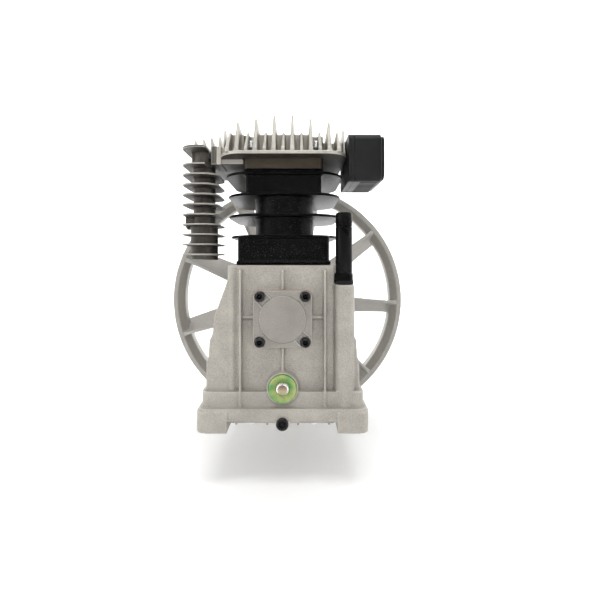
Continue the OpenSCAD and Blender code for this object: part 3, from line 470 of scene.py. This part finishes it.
# ---- Repeated forms ----------------------------------------------------------------------
# Each kind of repeated form is one Geometry Nodes tree, grown with the sizes of its place.
def bolt_tree():
    """Copies of the bolt on a grid, each turned at random, then moved to its face."""
    tree = Growth("bolts_on_a_grid", {
        "Columns": "Int", "Rows": "Int", "Width": "Float", "Depth": "Float",
        "Centre": "Vector", "Turn": "Vector", "Seed": "Int"})
    grid = tree.node("GeometryNodeMeshGrid", {}, {
        "Size X": tree.given("Width"), "Size Y": tree.given("Depth"),
        "Vertices X": tree.given("Columns"), "Vertices Y": tree.given("Rows")})
    spin = tree.node("FunctionNodeRandomValue", {}, {3: math.tau, "Seed": tree.given("Seed")}, 1)
    return tree.plant(grid, {"Rotation": tree.node("ShaderNodeCombineXYZ", {}, {2: spin})},
                      {"Translation": tree.given("Centre"), "Rotation": tree.given("Turn")})


def fin_tree():
    """A row of fins along X. Each is lower by Drop for every metre beyond Nearest."""
    tree = Growth("fins_in_a_row", {
        "Fins": "Int", "Start": "Vector", "Pitch": "Vector", "Nearest": "Float",
        "Drop": "Float", "Seat": "Vector"})
    row = tree.node("GeometryNodeMeshLine", {}, {
        "Count": tree.given("Fins"), "Start Location": tree.given("Start"),
        "Offset": tree.given("Pitch")})
    point = tree.node("GeometryNodeInputPosition", {}, {})
    across = tree.node("ShaderNodeSeparateXYZ", {}, {0: point})
    away = tree.node("ShaderNodeMath", {"operation": "ABSOLUTE"}, {0: across})
    height = 1 - (away - tree.given("Nearest")) * tree.given("Drop")
    size = tree.node("ShaderNodeCombineXYZ", {}, {0: 1.0, 1: 1.0, 2: height})
    return tree.plant(row, {"Scale": size}, {"Translation": tree.given("Seat")})


def blade_tree():
    """Copies of one blade turned round the crank's axis."""
    tree = Growth("blades_round_the_hub", {
        "Blades": "Int", "First angle": "Float", "Axle height": "Float"})
    points = tree.node("GeometryNodePoints", {}, {"Count": tree.given("Blades")})
    share = tree.node("ShaderNodeMath", {"operation": "DIVIDE"},
                      {0: -math.tau, 1: tree.given("Blades")})
    index = tree.node("GeometryNodeInputIndex", {}, {})
    angle = tree.node("ShaderNodeMath", {"operation": "MULTIPLY_ADD"},
                      {0: index, 1: share, 2: tree.given("First angle")})
    turn = tree.node("ShaderNodeCombineXYZ", {}, {1: angle})
    lift = tree.node("ShaderNodeCombineXYZ", {}, {2: tree.given("Axle height")})
    return tree.plant(points, {"Rotation": turn}, {"Translation": lift})


def grown(name, mesh, tree, **sizes):
    """The mesh that a Geometry Nodes tree makes with those sizes, in metres and radians."""
    seed = bpy.data.objects.new(name, mesh)
    scene.collection.objects.link(seed)
    grow = seed.modifiers.new("grow", "NODES")
    grow.node_group = tree
    for socket in tree.interface.items_tree:
        if socket.in_out == "INPUT" and socket.name in sizes:
            grow[socket.identifier] = sizes[socket.name]
    made = evaluated(seed)
    bpy.data.objects.remove(seed)
    return made


# ---- Pieces ------------------------------------------------------------------------------
# A visible piece is put in the scene and fitted to its body. Other nodes keep their shape and
# are only dressed.
def paint(mesh, finish):
    mesh.materials.clear()
    mesh.materials.append(finish.material)


def put(name, mesh, finish):
    """A new object with its place in its mesh and smooth shading."""
    piece = bpy.data.objects.new(name, mesh)
    scene.collection.objects.link(piece)
    paint(mesh, finish)
    for face in mesh.polygons:
        face.use_smooth = True
    return piece


def fit(piece, body, slot, *stands_for):
    """The piece rides on its body and stands for those CAD nodes."""
    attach(piece, body)
    if stands_for:
        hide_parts(*stands_for)


def dress(finish, *named):
    """A CAD node whose shape is right keeps it and takes the finish."""
    for node in named:
        paint(nodes[node].data, finish)


def softbox(name, place, aim, width, height, watts):
    light = bpy.data.objects.new(name, bpy.data.lights.new(name, "AREA"))
    light.data.shape, light.data.size, light.data.size_y = "RECTANGLE", width, height
    light.data.energy = watts
    light.location = place
    light.rotation_euler = (Vector(aim) - Vector(place)).to_track_quat("-Z", "Y").to_euler()
    scene.collection.objects.link(light)


# ---- Camera, lights and floor ------------------------------------------------------------
# The camera is the one fitted to the photograph. The pump stands on a pale sweep that curves
# up into a wall all round. The wheel hangs below the feet, so the floor lies under its rim.
camera = bpy.data.objects.new("camera", bpy.data.cameras.new("camera"))
camera.data.lens = 23.94
camera.data.clip_start = 0.02
camera.data.shift_x, camera.data.shift_y = 0.005, -0.067
camera.location = (0.0153, -0.520, 0.181)
camera.rotation_euler = (math.radians(90), 0, 0)
scene.collection.objects.link(camera)
scene.camera = camera
scene.view_settings.view_transform = "Standard"

softbox("key_left", (-1.7, -0.75, 0.75), (0, 0, 0.12), 0.9, 1.1, 9)
softbox("fill_right", (1.7, -0.3, 0.6), (0, 0, 0.15), 0.7, 1.2, 5)
softbox("top", (0, 0.5, 1.9), (0, 0.1, 0.2), 1.4, 1.2, 9)
softbox("wash_behind", (0, 1.2, 2.2), (0, 3.4, 1.0), 3.0, 1.2, 110)
softbox("floor_wash", (0, -1.0, 2.4), (0, -0.7, 0), 1.6, 0.8, 24)

floor_z = cad_box[0][2] - 0.002
flat_r, curl_r, wall_top = 2.2, 0.9, 5.0
sweep_section = [(0.001, 0), (0.6, 0), (1.4, 0), (flat_r, 0)] + [
    (flat_r + curl_r * math.sin(math.radians(a)), curl_r - curl_r * math.cos(math.radians(a)))
    for a in range(10, 91, 10)] + [(flat_r + curl_r, wall_top)]
sweep = bmesh.new()
rings = [[sweep.verts.new((radius * c, radius * s, floor_z + rise)) for c, s in circle(96)]
         for radius, rise in sweep_section]
bridged(sweep, rings)
sweep.faces.new(rings[0])
bmesh.ops.recalc_face_normals(sweep, faces=sweep.faces)
sweep_mesh = finished(sweep, "sweep")
paper = Finish("pale_paper", Roughness=0.9)
paper.feed("Base Color", paper.mix(paper.grain(3.0), tint(247, 247, 247), tint(250, 250, 250)))
put("sweep", sweep_mesh, paper)

world = bpy.data.worlds.new("studio")
scene.world = world
world.use_nodes = True
world.node_tree.nodes["Background"].inputs[0].default_value = (1, 1, 1, 1)
world.node_tree.nodes["Background"].inputs[1].default_value = 0.27


# ---- Crankcase ---------------------------------------------------------------------------
# One sand-cast aluminium box on two foot rails, shot blasted and left bare. Thin ribs cross
# its front wall, a filler column stands at its right corner, and all its edges are rounded.
case_finish = blasted("cast_aluminium", tint(138, 134, 127), tint(184, 179, 170),
                      tint(226, 223, 216), 0.45, 0.44, 950, 0.00026)
fit(put("crankcase_casting", cast([merged("crankcase")], 1.0 * MM), case_finish),
    "root", "cast_aluminium", "crankcase")


# ---- Front bearing cover -----------------------------------------------------------------
# A pressure-cast aluminium lid over the front ball bearing, with a raised disc, a rim round
# it and webs to two corners. It seats on a red compound joint with four black socket screws.
lid_low, lid_high = corners(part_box("front_bearing_cover"))
lid_z = (lid_low.z + lid_high.z) / 2
lid_face = lid_low.y + 1.4 * MM
lid_finish = blasted("cover_casting", tint(124, 120, 114), tint(158, 154, 147),
                     tint(222, 219, 212), 0.5, 0.42, 1100, 0.00018, 0.7)
lid_rim = ring_form([(22.9, 0.2), (23.3, -0.95), (24.4, -0.95), (24.9, 0.2), (24.5, 1.5),
                     (23.2, 1.5)], 120, lid_z, lid_low.y + 0.95 * MM)
web_from, web_run, slant = 17.3, 7.0, 0.7
web_seat = Vector((0, lid_face + 0.2 * MM, lid_z))
webs = []
for side_x, side_z in ((-1, 1), (1, -1)):
    for shift in (-6.6, 6.6):
        inner = Vector((side_x * web_from + shift * slant, 0, side_z * web_from + shift * slant))
        outer = inner + Vector((side_x * web_run, 0, side_z * web_run))
        webs.append(bar(inner * MM + web_seat, outer * MM + web_seat, 1.5 * MM, 2.6 * MM))
fit(put("bearing_cover_casting",
        cast([merged("front_bearing_cover"), lid_rim] + webs, 0.36 * MM, 3), lid_finish),
    "root", "cover_casting", "front_bearing_cover")

bolt_grid = bolt_tree()
oxide_finish = oxide("black_steel", tint(44, 44, 46), tint(24, 24, 26))
screw_low, screw_high = corners(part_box("front_cover_screws"))
cap_r, cap_h = 5, 6
screw_pitch = (screw_high.x - screw_low.x) - 2 * cap_r * MM
fit(put("bearing_cover_screws",
        grown("screws", socket_screw(3, 16, cap_r, cap_h), bolt_grid, Columns=2, Rows=2,
              Width=screw_pitch, Depth=screw_pitch, Centre=(0, screw_low.y + cap_h * MM, lid_z),
              Turn=(math.radians(90), 0, 0), Seed=4, Finish=oxide_finish.material), oxide_finish),
    "root", "black_steel", "front_cover_screws")
dress(fibre("red_gasket", tint(126, 74, 60), tint(170, 110, 92), 0.6), "front_cover_gasket")


# ---- Oil sight glass and drain plug ------------------------------------------------------
# The sight glass is a green plastic bezel with a clear domed window over a white cup, whose
# upper part is painted brown as a reflection. The drain plug is a blackened socket screw low
# on the front wall.
glass_low, glass_high = corners(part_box("sight_glass_ring"))
glass_z = (glass_low.z + glass_high.z) / 2
glass_r = (glass_high.x - glass_low.x) / 2 / MM
glass_y = glass_low.y
lens_low = corners(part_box("sight_glass_lens"))[0]

bezel_finish = Finish("green_ring", Roughness=0.12, IOR=1.49, Coat_Weight=0.3)
swirl = bezel_finish.ramp(bezel_finish.grain(90, 2, 0.5), (0.38, 0.0), (0.66, 1.0))
bezel_finish.feed("Base Color", bezel_finish.mix(swirl, tint(84, 142, 76), tint(150, 160, 92)))
bezel_finish.relief(bezel_finish.grain(700), 0.00003)
bezel = turned([(9.2, -6), (9.6, -6), (glass_r - 0.2, -6), (glass_r, -5.6), (glass_r, -1.0),
                (glass_r - 0.5, -0.3), (glass_r - 1.4, 0), (glass_r - 2.2, -0.1), (9.6, -1.9),
                (8.4, -2.6), (7.3, -2.8), (7.1, -3.2), (7.1, -5.6), (0.2, -5.6)], 96)
fit(put("sight_glass_bezel", moved(bezel, (0, glass_y, glass_z), (90, 0, 0)), bezel_finish),
    "root", "green_ring", "sight_glass_ring")

cup_finish = Finish("sight_glass_cup", Roughness=0.5)
# Painted reflection: the cup is brown above a level a little over the glass's centre, and cream
# below it.
painted_reflection = cup_finish.ramp(cup_finish.along(2) + cup_finish.grain(500) * 0.0006,
                      (glass_z + 0.9 * MM, 1.0), (glass_z + 1.5 * MM, 0.0))
cup_finish.feed("Base Color", cup_finish.mix(painted_reflection, tint(120, 62, 50), tint(206, 190, 140)))
cup = turned([(0.2, -5.5), (6.6, -5.5), (6.6, -5.0), (5.2, -4.7), (4.6, -4.4), (3.6, -4.1),
              (0.2, -4.0)])
fit(put("sight_glass_cup", moved(cup, (0, glass_y, glass_z), (90, 0, 0)), cup_finish),
    "root", "green_ring")

dome_finish = Finish("clear_lens", Base_Color=(1, 1, 1, 1), IOR=1.47, Transmission_Weight=1.0)
dome_finish.feed("Roughness", 0.02 + dome_finish.grain(160) * 0.03)
dome_top, spring = (glass_y - lens_low.y) / MM, 2.2
dome = turned([(0.2, -3.2), (6.9, -3.2), (7.0, -2.6)] + [
    (7.0 * math.cos(math.radians(a)), -spring + (dome_top + spring) * math.sin(math.radians(a)))
    for a in range(6, 90, 7)] + [(0.2, dome_top)])
fit(put("sight_glass_dome", moved(dome, (0, glass_y, glass_z), (90, 0, 0)), dome_finish),
    "root", "clear_lens", "sight_glass_lens")

plug_low, plug_high = corners(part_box("drain_plug"))
plug_z = (plug_low.z + plug_high.z) / 2
plug = turned([(0.3, -12), (3.4, -12), (4.0, -11.3), (4.0, 0), (6.2, 0), (6.5, 0.4), (6.5, 3.2),
               (5.8, 4.0), (4.6, 4.0), (3.7, 3.6, HEX), (3.5, 3.0, HEX), (3.5, 1.0, HEX),
               (0.3, 0.7)], 72)
fit(put("drain_plug_screw", moved(plug, (0, plug_low.y + 4 * MM, plug_z), (90, 0, 0)),
        oxide_finish), "root", "black_steel", "drain_plug")


# ---- Bottom cover ------------------------------------------------------------------------
# A thin ribbed aluminium lid closes the sump from below. Eight zinc-plated hex bolts hold it
# through a fibre joint.
fit(put("bottom_cover_casting", cast([merged("bottom_cover")], 0.6 * MM), case_finish),
    "root", "cast_aluminium", "bottom_cover")
# The fibre's dark tones are partly its own colour and partly painted shade, for the joints that sit
# in shade under the head.
joint_finish = fibre("gasket_fibre", tint(34, 30, 26), tint(66, 58, 50), 0.75)
dress(joint_finish, "bottom_cover_gasket", "block_base_gasket", "block_top_gasket",
      "plate_gasket", "head_gasket", "cooler_gasket")

zinc_finish = plated("zinc_steel", tint(206, 212, 216), tint(232, 234, 232), 0.2)
belly_low = corners(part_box("bottom_cover_bolts"))[0]
belly_head = 3.2
end_bolts, side_bolts = (33, 88, 14.5, 2), (50.5, 34, 11.0, 7)
belly_bolts = [grown("belly", hex_bolt(3, length, 5, belly_head), bolt_grid, Columns=2, Rows=2,
                     Width=2 * x * MM, Depth=2 * y * MM,
                     Centre=(0, 0, belly_low.z + belly_head * MM),
                     Turn=(math.pi, 0, 0), Seed=seed, Finish=zinc_finish.material)
               for x, y, length, seed in (end_bolts, side_bolts)]
fit(put("bottom_cover_hex_bolts", together("belly_bolts", *belly_bolts), zinc_finish),
    "root", "zinc_steel", "bottom_cover_bolts")


# ---- Breather tube and its collar --------------------------------------------------------
# A plain black moulded tube with a closed top and one shallow groove, pushed into a threaded
# black collar on top of the filler column. Both are smooth and a little oily.
tube_finish = moulded("black_plastic", tint(7, 7, 6), tint(14, 14, 13), 0.2, 800, 0.00004, 0.07)
collar_low, collar_high = corners(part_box("breather_collar"))
tube_low, tube_high = corners(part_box("breather_tube"))
column = (collar_low + collar_high) / 2
collar_r = (collar_high.x - collar_low.x) / 2 / MM
collar_h = (collar_high.z - collar_low.z) / MM - 8
threads = 5
thread = [(collar_r - 0.8, 0.1), (collar_r, 0.6), (collar_r, 4.4), (collar_r - 0.5, 4.9)]
for turn in range(threads):
    base = 5.1 + turn * (collar_h - 5.6) / threads
    thread += [(collar_r - 1.0, base), (collar_r - 0.15, base + 0.55),
               (collar_r - 0.15, base + 0.8), (collar_r - 1.0, base + 1.25)]
collar = turned([(6.1, 0)] + thread + [(collar_r - 1.3, collar_h), (9.1, collar_h), (9.1, 3.1),
                                       (6.1, 3.0)], 96)
fit(put("breather_collar_ring",
        moved(collar, (column.x, column.y, collar_high.z - collar_h * MM)), tube_finish),
    "root", "black_plastic", "breather_collar")
tube_r = (tube_high.x - tube_low.x) / 2 / MM
tube_h = (tube_high.z - tube_low.z) / MM
tube = turned([(7.0, 0), (tube_r - 0.3, 0), (tube_r, 0.5), (tube_r, tube_h - 16),
               (tube_r - 0.35, tube_h - 15.5), (tube_r - 0.35, tube_h - 14.8),
               (tube_r, tube_h - 14.3), (tube_r, tube_h - 2.0), (tube_r - 0.6, tube_h - 0.7),
               (tube_r - 1.8, tube_h - 0.1), (tube_r - 3.5, tube_h), (0.2, tube_h)], 80)
fit(put("breather_tube_moulding", moved(tube, (column.x, column.y, tube_low.z)), tube_finish),
    "root", "black_plastic", "breather_tube")


# ---- Cylinder block ----------------------------------------------------------------------
# One iron casting with two bores, four broad rounded fins and a box foot, under black enamel
# that pools on the fins and shows the sand's grain on the box.
enamel = Finish("black_iron", Specular_IOR_Level=0.07)
sand = enamel.grain(1100, 3, 0.6)
sag = enamel.grain(150, 2)
rub = enamel.ramp(enamel.curve(), (0.55, 0.0), (0.7, 1.0))
fleck = enamel.ramp(enamel.grain(1300, 1), (0.66, 0.0), (0.72, 1.0))
enamel.feed("Base Color", enamel.mix(fleck * 0.3 + rub * 0.25,
                                     enamel.mix(sag, tint(5, 5, 5), tint(11, 11, 11)),
                                     tint(120, 120, 118)))
enamel.feed("Roughness", 0.22 + sand * 0.22)
enamel.relief(sag + sand * 0.35, 0.00035)
fit(put("cylinder_block_casting", cast([merged("cylinder_block")], 0.8 * MM), enamel),
    "root", "black_iron", "cylinder_block")
base_low = corners(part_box("block_base_bolts"))[0]
base_head, base_width, base_depth = 5.3, 88, 120
fit(put("block_base_hex_bolts",
        grown("base", hex_bolt(4, 21.5, 6.5, base_head), bolt_grid, Columns=2, Rows=3,
              Width=base_width * MM, Depth=base_depth * MM,
              Centre=(0, 0, base_low.z + base_head * MM),
              Turn=(math.pi, 0, 0), Seed=11, Finish=zinc_finish.material), zinc_finish),
    "root", "zinc_steel", "block_base_bolts")


# ---- Valve plates, reeds and gaskets -----------------------------------------------------
# Ground steel plates, blued spring-steel reeds and their stops lie between fibre gaskets.
# Only their edges show, stained brown by heat and oil, and the plates' steel is painted dark as
# shade from the head above.
# Painted shade: both plate tones are set dark for the shade under the head.
dress(ground_steel("plate_steel", tint(60, 55, 50), tint(96, 89, 80), 0.42, (1, 1, 6), 0.5),
      "intake_valve_plate", "discharge_valve_plate")
dress(ground_steel("spring_steel", tint(88, 96, 116), tint(128, 132, 142), 0.24),
      "intake_reeds", "discharge_reeds", "reed_stops")


# ---- Cylinder head -----------------------------------------------------------------------
# A bright aluminium casting: tall fins over a discharge and an intake chamber, a thin base
# plate with a machined edge, and an arm to the cooler. Six socket bolts sit in its pockets.
# The underside of its plate is painted dark, without metal, as painted shade.
head_finish = blasted("head_aluminium", tint(150, 146, 138), tint(190, 186, 176),
                      tint(240, 238, 232), 0.62, 0.36, 1300, 0.0002, 0.75)
# Painted shade: faces that look down and lie as low as the plate's underside take a dark colour and
# lose their metal.
facing = head_finish.node("ShaderNodeSeparateXYZ", {}, {
    "Vector": head_finish.node("ShaderNodeNewGeometry", {}, {}, "Normal")}, 2)
dark_below, unshaded_above = 0.2972, 0.2982
downward = head_finish.ramp(facing * 0.5 + 0.5, (0.08, 1.0), (0.3, 0.0))
painted_underside_shade = downward * head_finish.ramp(head_finish.along(2), (dark_below, 1.0),
                                        (unshaded_above, 0.0))
head_finish.feed("Base Color", head_finish.mix(painted_underside_shade, head_finish.fed("Base Color"),
                                               tint(50, 47, 42)))
head_finish.feed("Metallic", head_finish.fed("Metallic") * (1 - painted_underside_shade))

# There are tall fins, low ones between them, and a third row over the cooler's arm. A row has
# its fins' height, length, peak inset, root and tip thickness, their number, the first one's x,
# the pitch, how far out they begin to drop, the drop, and the row's y.
fin_row = fin_tree()
fin_rows = ((47.4, 173, 14, 5.2, 2.9, 6, -51, 20.4, 10.2, 4.4, 0),
            (31.2, 171, 22, 4.4, 2.5, 7, -61.2, 20.4, 0, 0, 0),
            (39.3, 88, 5, 4.4, 2.6, 4, -111.6, 10.2, 81, 4.0, 17.25))
head_seat = corners(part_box("cylinder_head"))[1].z - 47.6 * MM
fins = [grown("fins", fin_form(height, length, peak, root, tip), fin_row, Fins=count,
              Start=(start * MM, 0, 0), Pitch=(pitch * MM, 0, 0), Nearest=near * MM, Drop=drop,
              Seat=(0, y * MM, head_seat), Finish=head_finish.material)
        for height, length, peak, root, tip, count, start, pitch, near, drop, y in fin_rows]
fit(put("cylinder_head_casting", cast([merged("cylinder_head")] + fins, 0.66 * MM, 3, 190000),
        head_finish), "root", "head_aluminium", "cylinder_head")
top_low, top_high = corners(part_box("head_bolts"))
top_head, top_width, top_depth = 8, 74, 124
fit(put("head_socket_bolts",
        grown("head", socket_screw(4, (top_high.z - top_low.z) / MM - top_head, 6.5, top_head),
              bolt_grid, Columns=2, Rows=3, Width=top_width * MM, Depth=top_depth * MM,
              Centre=(0, 0, top_high.z - top_head * MM), Turn=(0, 0, 0), Seed=5,
              Finish=zinc_finish.material), zinc_finish),
    "root", "zinc_steel", "head_bolts")


# ---- Discharge cooler --------------------------------------------------------------------
# A dull grey cast tube with thin oval fins that takes the hot air down from the head's arm.
# Two black hex bolts hold its flange.
cooler_finish = blasted("cooler_aluminium", tint(62, 60, 56), tint(104, 100, 93),
                        tint(214, 210, 202), 0.5, 0.42, 1100, 0.0002, 1.0)
fit(put("discharge_cooler_casting", cast([merged("discharge_cooler")], 0.56 * MM, 3, 190000),
        cooler_finish), "root", "cooler_aluminium", "discharge_cooler")
side_low, side_high = corners(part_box("cooler_bolts"))
side_mid = (side_low + side_high) / 2
side_head = 3.4
flange_bolts = grown("side", hex_bolt(3, (side_high.x - side_low.x) / MM - side_head, 5, side_head),
                     bolt_grid, Columns=1, Rows=2, Width=0.0, Depth=29 * MM,
                     Centre=(side_low.x + side_head * MM, side_mid.y, side_mid.z),
                     Turn=(0, math.radians(-90), 0), Seed=3, Finish=oxide_finish.material)
fit(put("cooler_hex_bolts", flange_bolts, oxide_finish), "root", "black_steel", "cooler_bolts")


# ---- Intake filter -----------------------------------------------------------------------
# A satin black moulded box on a flanged base beside the head, with air slots underneath and
# an open-cell foam block inside. One screw through its face holds it on a plated nipple.
filter_finish = moulded("filter_plastic", tint(17, 18, 18), tint(31, 32, 32), 0.3, 1400, 0.00009)
fit(put("filter_cover_moulding", cast([merged("filter_cover")], 0.62 * MM, 3, 150000),
        filter_finish), "root", "filter_plastic", "filter_cover")
fit(put("filter_base_moulding", cast([merged("filter_base")], 0.55 * MM, 2, 120000),
        filter_finish), "root", "filter_plastic", "filter_base")
dress(zinc_finish, "filter_nipple", "filter_screw")

foam_finish = Finish("filter_foam", Roughness=0.95)
cell = foam_finish.node("ShaderNodeTexVoronoi", {}, {"Vector": foam_finish.place(), "Scale": 620.0})
foam_finish.feed("Base Color", foam_finish.mix(cell, tint(120, 110, 78), tint(206, 194, 150)))
foam_finish.relief(cell, 0.0006)
foam = cast([merged("filter_element")], 1.2 * MM, 6, 60000)
fit(put("filter_foam_block", foam, foam_finish), "root", "filter_foam", "filter_element")


# ---- Flywheel ----------------------------------------------------------------------------
# A cast-iron wheel in silver paint. Its nine spokes are twisted fan blades that run from the
# hub into the flared inside of the rim. The V groove for the belt is bare turned metal.
wheel_low, wheel_high = corners(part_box("flywheel"))
wheel_r = (wheel_high.x - wheel_low.x) / 2 / MM
axle_z = (wheel_high.z + wheel_low.z) / 2
rim_front, rim_back = 110.0, 146.0
hub_front, hub_back = wheel_low.y / MM, wheel_high.y / MM
rim_in, rim_flare = wheel_r - 7, 9.6
groove_mid = (rim_front + rim_back) / 2
groove_r, groove_mouth, groove_floor = wheel_r - 11, 8.8, 4.9
hub_r, bore_r, hub_edge = 35, 14.3, 1.4
rim = ring_form([(rim_in, rim_front), (wheel_r, rim_front), (wheel_r, groove_mid - groove_mouth),
                 (groove_r, groove_mid - groove_floor), (groove_r, groove_mid + groove_floor),
                 (wheel_r, groove_mid + groove_mouth), (wheel_r, rim_back), (rim_in, rim_back),
                 (rim_in - rim_flare, rim_back - rim_flare),
                 (rim_in - rim_flare, rim_front + rim_flare)], 360, axle_z)
hub = ring_form([(bore_r, hub_front), (hub_r - hub_edge, hub_front), (hub_r, hub_front + hub_edge),
                 (hub_r, hub_back - hub_edge), (hub_r - hub_edge, hub_back),
                 (bore_r, hub_back)], 128, axle_z)
blade = blade_form(26, rim_in, rim_front, rim_back - rim_front)

wheel_finish = Finish("wheel_casting")
flake = wheel_finish.grain(2200, 2, 0.6)
lump = wheel_finish.grain(220, 3)
across, rise = wheel_finish.along(0), wheel_finish.along(2) - axle_z
reach = wheel_finish.node("ShaderNodeMath", {"operation": "SQRT"},
                          {0: across * across + rise * rise})
off_groove = wheel_finish.node("ShaderNodeMath", {"operation": "ABSOLUTE"},
                               {0: wheel_finish.along(1) - groove_mid * MM})
between_lips = wheel_finish.ramp(off_groove, ((groove_mouth - 0.2) * MM, 1.0),
                                 ((groove_mouth + 0.4) * MM, 0.0))
in_groove = between_lips * wheel_finish.ramp(reach, ((groove_r - 1) * MM, 0.0),
                                             ((groove_r - 0.4) * MM, 1.0))
wheel_edge = wheel_finish.ramp(wheel_finish.curve(), (0.51, 0.0), (0.6, 1.0))
wheel_paint = wheel_finish.mix(flake * 0.5 + lump * 0.5, tint(136, 133, 127), tint(176, 173, 167))
wheel_rubbed = wheel_finish.mix(wheel_edge * 0.6, wheel_paint, tint(226, 225, 222))
wheel_finish.feed("Base Color", wheel_finish.mix(in_groove, wheel_rubbed, tint(176, 174, 172)))
wheel_finish.feed("Metallic", 0.35 + in_groove * 0.65)
wheel_finish.feed("Roughness", 0.42 + lump * 0.12 - in_groove * 0.15)
wheel_finish.relief(lump + flake * 0.3, 0.0004)
blades = grown("blades", blade, blade_tree(), **{
    "Blades": 9, "First angle": math.radians(0.6), "Axle height": axle_z,
    "Finish": wheel_finish.material})
fit(put("flywheel_casting", cast([rim, hub, blades], 1.05 * MM, 3, 190000), wheel_finish),
    "crank", "wheel_casting", "flywheel")
dress(zinc_finish, "flywheel_washer", "flywheel_bolt")


# ---- Crankshaft, bearings and seal -------------------------------------------------------
# A forged steel crankshaft with ground journals runs in two ball bearings. A rubber lip seal
# closes the case behind the rear one, and a key drives the wheel.
forged_finish = ground_steel("forged_steel", tint(120, 118, 116), tint(160, 158, 156), 0.34,
                             (1, 14, 1), 0.25)
dress(forged_finish, "crankshaft", "flywheel_key", "front_crank_pin", "rear_crank_pin")
race_finish = ground_steel("bearing_steel", tint(196, 198, 202), tint(222, 224, 228), 0.08,
                           (1, 10, 1))
dress(race_finish, "front_bearing_outer_race", "front_bearing_balls", "front_bearing_inner_race",
      "rear_bearing_outer_race", "rear_bearing_balls", "rear_bearing_inner_race",
      "front_wrist_pin", "rear_wrist_pin")
dress(moulded("seal_rubber", tint(20, 20, 20), tint(34, 34, 33), 0.55, 1200, 0.00008),
      "shaft_oil_seal")


# ---- Pistons and connecting rods ---------------------------------------------------------
# Turned aluminium pistons with iron rings, on pressure-cast aluminium rods. Each big-end cap
# is held by two blackened bolts.
piston_finish = ground_steel("piston_aluminium", tint(186, 186, 188), tint(212, 212, 212), 0.26,
                             (1, 1, 18))
ring_finish = ground_steel("ring_iron", tint(96, 96, 98), tint(128, 128, 130), 0.32, (1, 1, 10))
rod_finish = blasted("rod_aluminium", tint(150, 150, 152), tint(178, 178, 180),
                     tint(212, 212, 212), 0.6, 0.4, 1400, 0.00012)
for end in ("front", "rear"):
    dress(piston_finish, end + "_piston")
    dress(ring_finish, end + "_piston_rings")
    dress(rod_finish, end + "_connecting_rod")
    dress(oxide_finish, end + "_rod_cap_bolts")
